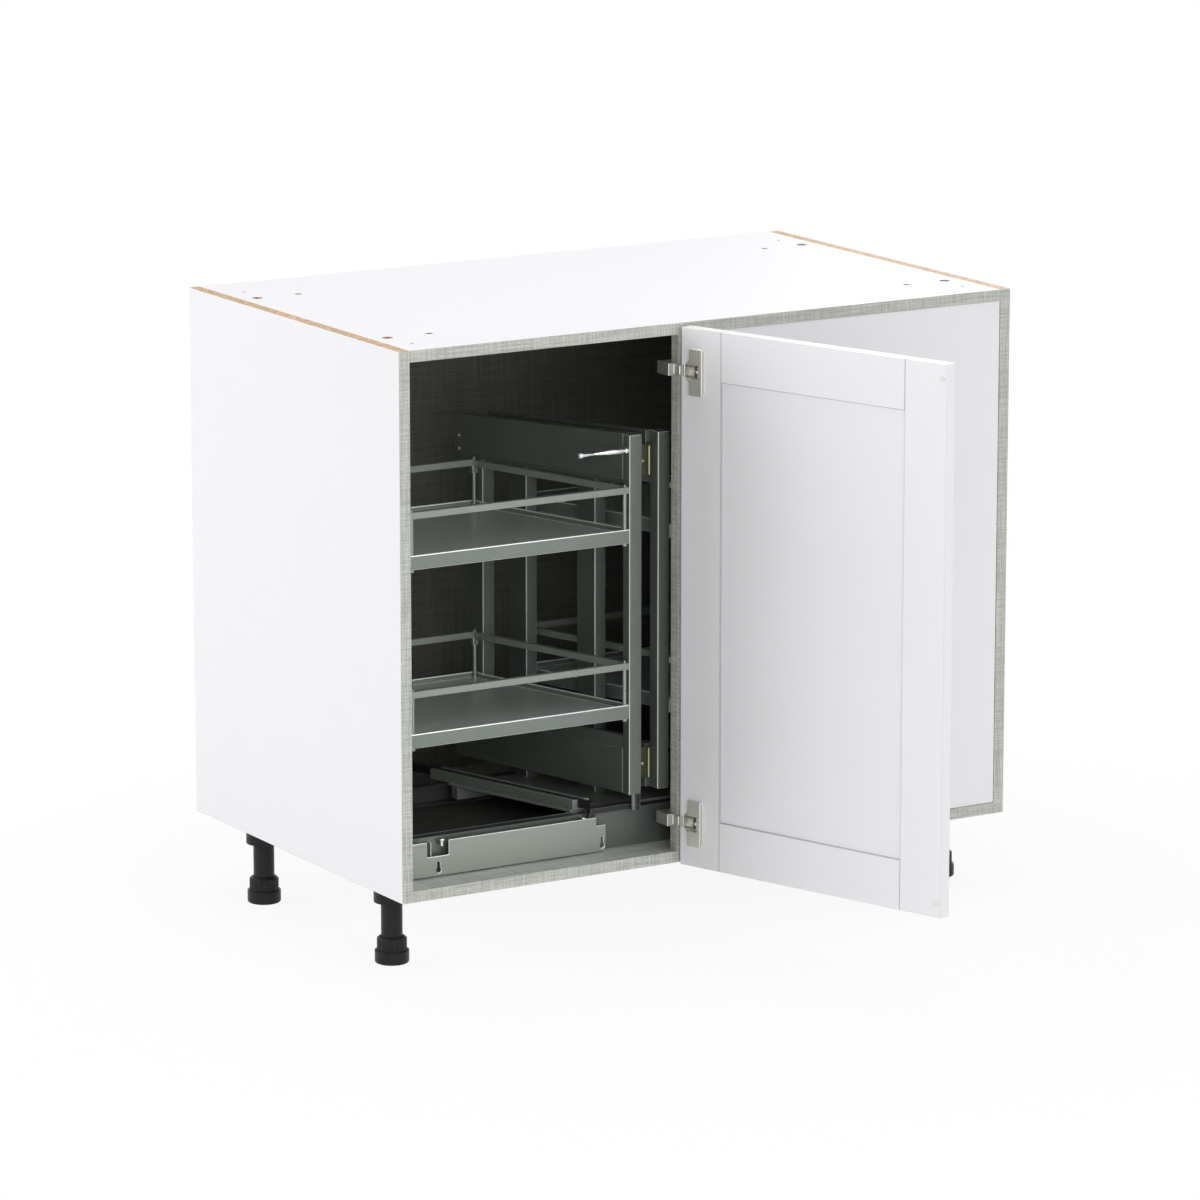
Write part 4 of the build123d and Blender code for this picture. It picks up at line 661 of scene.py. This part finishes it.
# Pull knob with its collar, waist and flared tip
KNOB_PROFILE = ((-0.3, 5.0), (2.6, 5.0), (3.4, 4.4), (3.4, 3.5), (6.4, 3.5), (7, 4.4), (8.4, 4.7),
                (22, 4.5), (32, 3.8), (42, 2.9), (50, 2.1), (54, 1.9), (58, 2.2), (66, 3.3), (72, 4.2),
                (75.4, 4.6), (77, 4.4), (77.9, 3.4))
KNOB_FOOT = at(384, 45, 696)
knob = turned("knob", KNOB_PROFILE, (-1, 0, 0), KNOB_FOOT, 32)
finish_piece(knob, "front_unit", FINISHES["pull_knob"])
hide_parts("pull_knob")

# Closing blocks: a strike bar and a screw on each
BLOCK_LOWS = (224, 655)
SCREW_ABOVE_LOW = 21
SCREW_PROFILE = ((-1, 2.4), (0.6, 2.4), (1.3, 1.4))
STRIKE_PROFILE = ((1, 1.3), (1.8, 2.1), (42.2, 2.1), (43, 1.3))
copies(turned("strike", STRIKE_PROFILE, sides=16), [at(425, 53.6, z) for z in BLOCK_LOWS],
       "closing_strike", "rear_unit", BRASS)
copies(turned("screw", SCREW_PROFILE, (0, -1, 0), sides=12),
       [at(416.5, 55.5, z + SCREW_ABOVE_LOW) for z in BLOCK_LOWS],
       "closing_screw", "rear_unit", BRASS)

# Buffers on the carriage plate, shaped like mushrooms, and the lip of its notch
BUFFER_PROFILE = ((-11, 3), (-3.6, 3), (-3.6, 4.9), (-2.8, 5.2), (-1.4, 5.2), (-0.5, 4.4), (0, 2.6))
buffers = copies(turned("buffer", BUFFER_PROFILE), [at(x, 56.2, 181) for x in (93, 320)],
                 "buffer", "pull_carriage", BRIGHT)
for buffer in buffers:
    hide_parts("carriage_buffers")
finish_piece(block("notch_lip", at(72.6, 51.2, 158) / MM, at(74.6, 60, 177.6) / MM, 0.8, 3),
             "pull_carriage", FINISHES["carriage_plate"])

# Light caps on the front left ends of the rear trays and rings
CAP_SPANS = ((318, 337), (388, 396.2), (567, 586), (637, 645.2))
for number, (low, high) in enumerate(CAP_SPANS):
    cap = block(f"rear_end_cap_{number + 1}", at(451.3, 41.1, low) / MM, at(455.9, 44, high) / MM, 0.7)
    finish_piece(cap, "rear_unit", CAP)

# Screw heads at the back end of the front unit's upper beam
HEAD_PROFILE = ((-0.5, 3), (1.2, 3), (2, 2.3), (2.4, 1.1))
copies(turned("head", HEAD_PROFILE, (-1, 0, 0), sides=16), [at(293.2, 353, z) for z in (657, 676)],
       "beam_screw", "front_unit", BRIGHT)

# Hinge cups: a raised frame round the arm's place, and the bridge, cheeks, tongue, screw and rivets
HINGE_LEVELS = (174, 812)
ARM_PLACE_HALF = 10.5 * MM
FRAME_REACH = 15.8 * MM
HINGE_SCREW_PROFILE = ((9, 2.6), (11, 2.6), (11.5, 1.8))
RIVET_PROFILE = ((9, 1.3), (11.2, 1.3), (11.6, 0.7))


def on_door(piece, name, material):
    """Moves a piece modelled at a hinge's level of a shut door to both hinges of the open one."""
    take(piece)
    piece.rotation_euler.z = DOOR_ANGLE
    bpy.ops.object.transform_apply(location=False, rotation=True, scale=False)
    places = [DOOR_AXIS + Vector((0, 0, z * MM)) for z in HINGE_LEVELS]
    copies(piece, places, name, "door", material)


def hinge_frame():
    """A flat C: a bar whose two ends are drawn out sideways, with the arm's place between them."""
    piece = block("hinge_frame", (-34, 10.9, -32.9), (-27.2, 14.6, 32.9), 0)
    bpy.ops.object.mode_set(mode="EDIT")
    for height in (-ARM_PLACE_HALF, ARM_PLACE_HALF):
        bpy.ops.mesh.select_all(action="SELECT")
        bpy.ops.mesh.bisect(plane_co=(0, 0, height), plane_no=(0, 0, 1))
    bpy.ops.mesh.select_all(action="DESELECT")
    bpy.ops.mesh.select_mode(type="FACE")
    mesh = bmesh.from_edit_mesh(piece.data)
    for face in mesh.faces:
        if face.normal.x > 0.9 and abs(face.calc_center_median().z) > ARM_PLACE_HALF:
            face.select = True
    bmesh.update_edit_mesh(piece.data)
    bpy.ops.mesh.extrude_region_move(TRANSFORM_OT_translate={"value": (FRAME_REACH, 0, 0)})
    bpy.ops.object.mode_set(mode="OBJECT")
    settle(piece)
    round_edges(piece, 0.9, 3)
    return piece


on_door(hinge_frame(), "hinge_frame", LIT_NICKEL)
on_door(block("bridge", (-26.6, -1, -8), (-18.4, 10.6, 8), 1, 3), "hinge_bridge", DARK_BRASS)
for low in (-8.2, 6.5):
    on_door(block("cheek", (-18.2, 6.5, low), (-1.2, 10.7, low + 1.7), 0.5), "hinge_cheek", BRASS)
on_door(block("tongue", (-1.3, 8.6, -8.2), (3, 10.7, 8.2), 0.9, 3), "hinge_tongue", LIT_NICKEL)
screw = turned("screw", HINGE_SCREW_PROFILE, (0, 1, 0), Vector((-22.4, 0, 0)) * MM, 16)
on_door(screw, "hinge_screw", BRIGHT)
for height in (-5.6, 5.6):
    rivet = turned("rivet", RIVET_PROFILE, (0, 1, 0), Vector((-24.6, 0, height)) * MM, 12)
    on_door(rivet, "hinge_rivet", BRIGHT)

# Floor and background: both look white to the camera, and the floor keeps part of its shadow near by
WHITE = (1, 1, 1, 1)
SHADOW_REACH = 0.6
SHADOW_END = 1.3
GLOW_NEAR = 0.9
FLOOR_SIZE = 30
AMBIENT = 0.12


def seen(tree, *rays):
    """One where a ray of any of these kinds looks at the surface."""
    found = None
    for ray in rays:
        kind = tree.node("ShaderNodeLightPath", output=ray)
        found = kind if found is None else tree.node("ShaderNodeMath", {"operation": "MAXIMUM"},
                                                     {0: found, 1: kind})
    return found


finish = Finish("studio_floor", Base_Color=(0.9, 0.9, 0.9, 1), Roughness=0.9)
glow = finish.node("ShaderNodeEmission", inputs={"Color": WHITE, "Strength": 1})
plain = Wire(finish, finish.shader.outputs[0])
x, y = finish.axes()[:2]
away = finish.node("ShaderNodeMath", {"operation": "SQRT"}, {0: x * x + y * y})
glowing = finish.node("ShaderNodeMapRange", {"interpolation_type": "SMOOTHSTEP"},
                      {0: away, 1: SHADOW_REACH, 2: SHADOW_END, 3: GLOW_NEAR, 4: 1})
looked_at = seen(finish, "Is Camera Ray", "Is Glossy Ray") * glowing
both = finish.node("ShaderNodeMixShader", inputs={0: looked_at, 1: plain, 2: glow})
finish.feed(finish.tree.nodes["Material Output"].inputs["Surface"], both)
clear()
bpy.ops.mesh.primitive_plane_add(size=FLOOR_SIZE, location=(0, 0, 0))
floor = bpy.context.active_object
floor.name = "studio_floor"
floor.data.materials.append(finish.material)
floor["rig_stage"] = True

world = bpy.data.worlds.new("studio")
bpy.context.scene.world = world
world.use_nodes = True
sky = Tree(world.node_tree)
ambient = sky.tree.nodes["Background"]
ambient.inputs["Color"].default_value = WHITE
ambient.inputs["Strength"].default_value = AMBIENT
backdrop = sky.node("ShaderNodeBackground", inputs={"Color": WHITE, "Strength": 1})
rays = seen(sky, "Is Camera Ray", "Is Glossy Ray", "Is Transmission Ray")
mixed = sky.node("ShaderNodeMixShader", inputs={0: rays, 1: Wire(sky, ambient.outputs[0]), 2: backdrop})
sky.feed(sky.tree.nodes["World Output"].inputs["Surface"], mixed)


# Lamps, with their places in metres, and power in watts
def lamp(name, place, aim, size, power):
    """A soft square lamp that faces a point."""
    light = bpy.data.lights.new(name, "AREA")
    light.size = size
    light.energy = power
    holder = bpy.data.objects.new(name, light)
    bpy.context.collection.objects.link(holder)
    holder.location = place
    holder.rotation_euler = (Vector(aim) - Vector(place)).to_track_quat("-Z", "Y").to_euler()


lamp("front_lamp", (1.6, -4.2, 2.4), (0, 0, 0.45), 2.5, 56)
lamp("left_front_lamp", (-1.6, -4.2, 1.4), (0, 0, 0.45), 2.5, 68)
lamp("left_back_lamp", (-4.2, 1.6, 1.8), (-0.4, 0, 0.45), 2.5, 106)
lamp("right_back_lamp", (3.6, 3.0, 1.8), (0.4, 0, 0.45), 2.5, 22)
lamp("over_lamp", (0.2, 0.2, 4.0), (0, 0, 0.5), 3.0, 88)

# Camera at the photograph's viewing angle, with its focal length in the photograph's pixels
CAMERA = (-4053.5, -7257.0, 2358.5)
AZIMUTH = 0.54172
PITCH = 0.215861
FOCAL = 6309.6
PHOTO_WIDTH = 1200
SENSOR = 36
camera = bpy.data.cameras.new("camera")
viewer = bpy.data.objects.new("camera", camera)
bpy.context.collection.objects.link(viewer)
bpy.context.scene.camera = viewer
camera.sensor_width = SENSOR
camera.lens = FOCAL / PHOTO_WIDTH * SENSOR
camera.clip_end = 100
viewer.location = at(*CAMERA)
level = math.cos(PITCH)
forward = Vector((math.sin(AZIMUTH) * level, math.cos(AZIMUTH) * level, -math.sin(PITCH)))
viewer.rotation_euler = forward.to_track_quat("-Z", "Y").to_euler()
bpy.context.scene.view_settings.view_transform = "Standard"

# Bounds of this scene's shown pieces, without the floor
low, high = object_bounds()
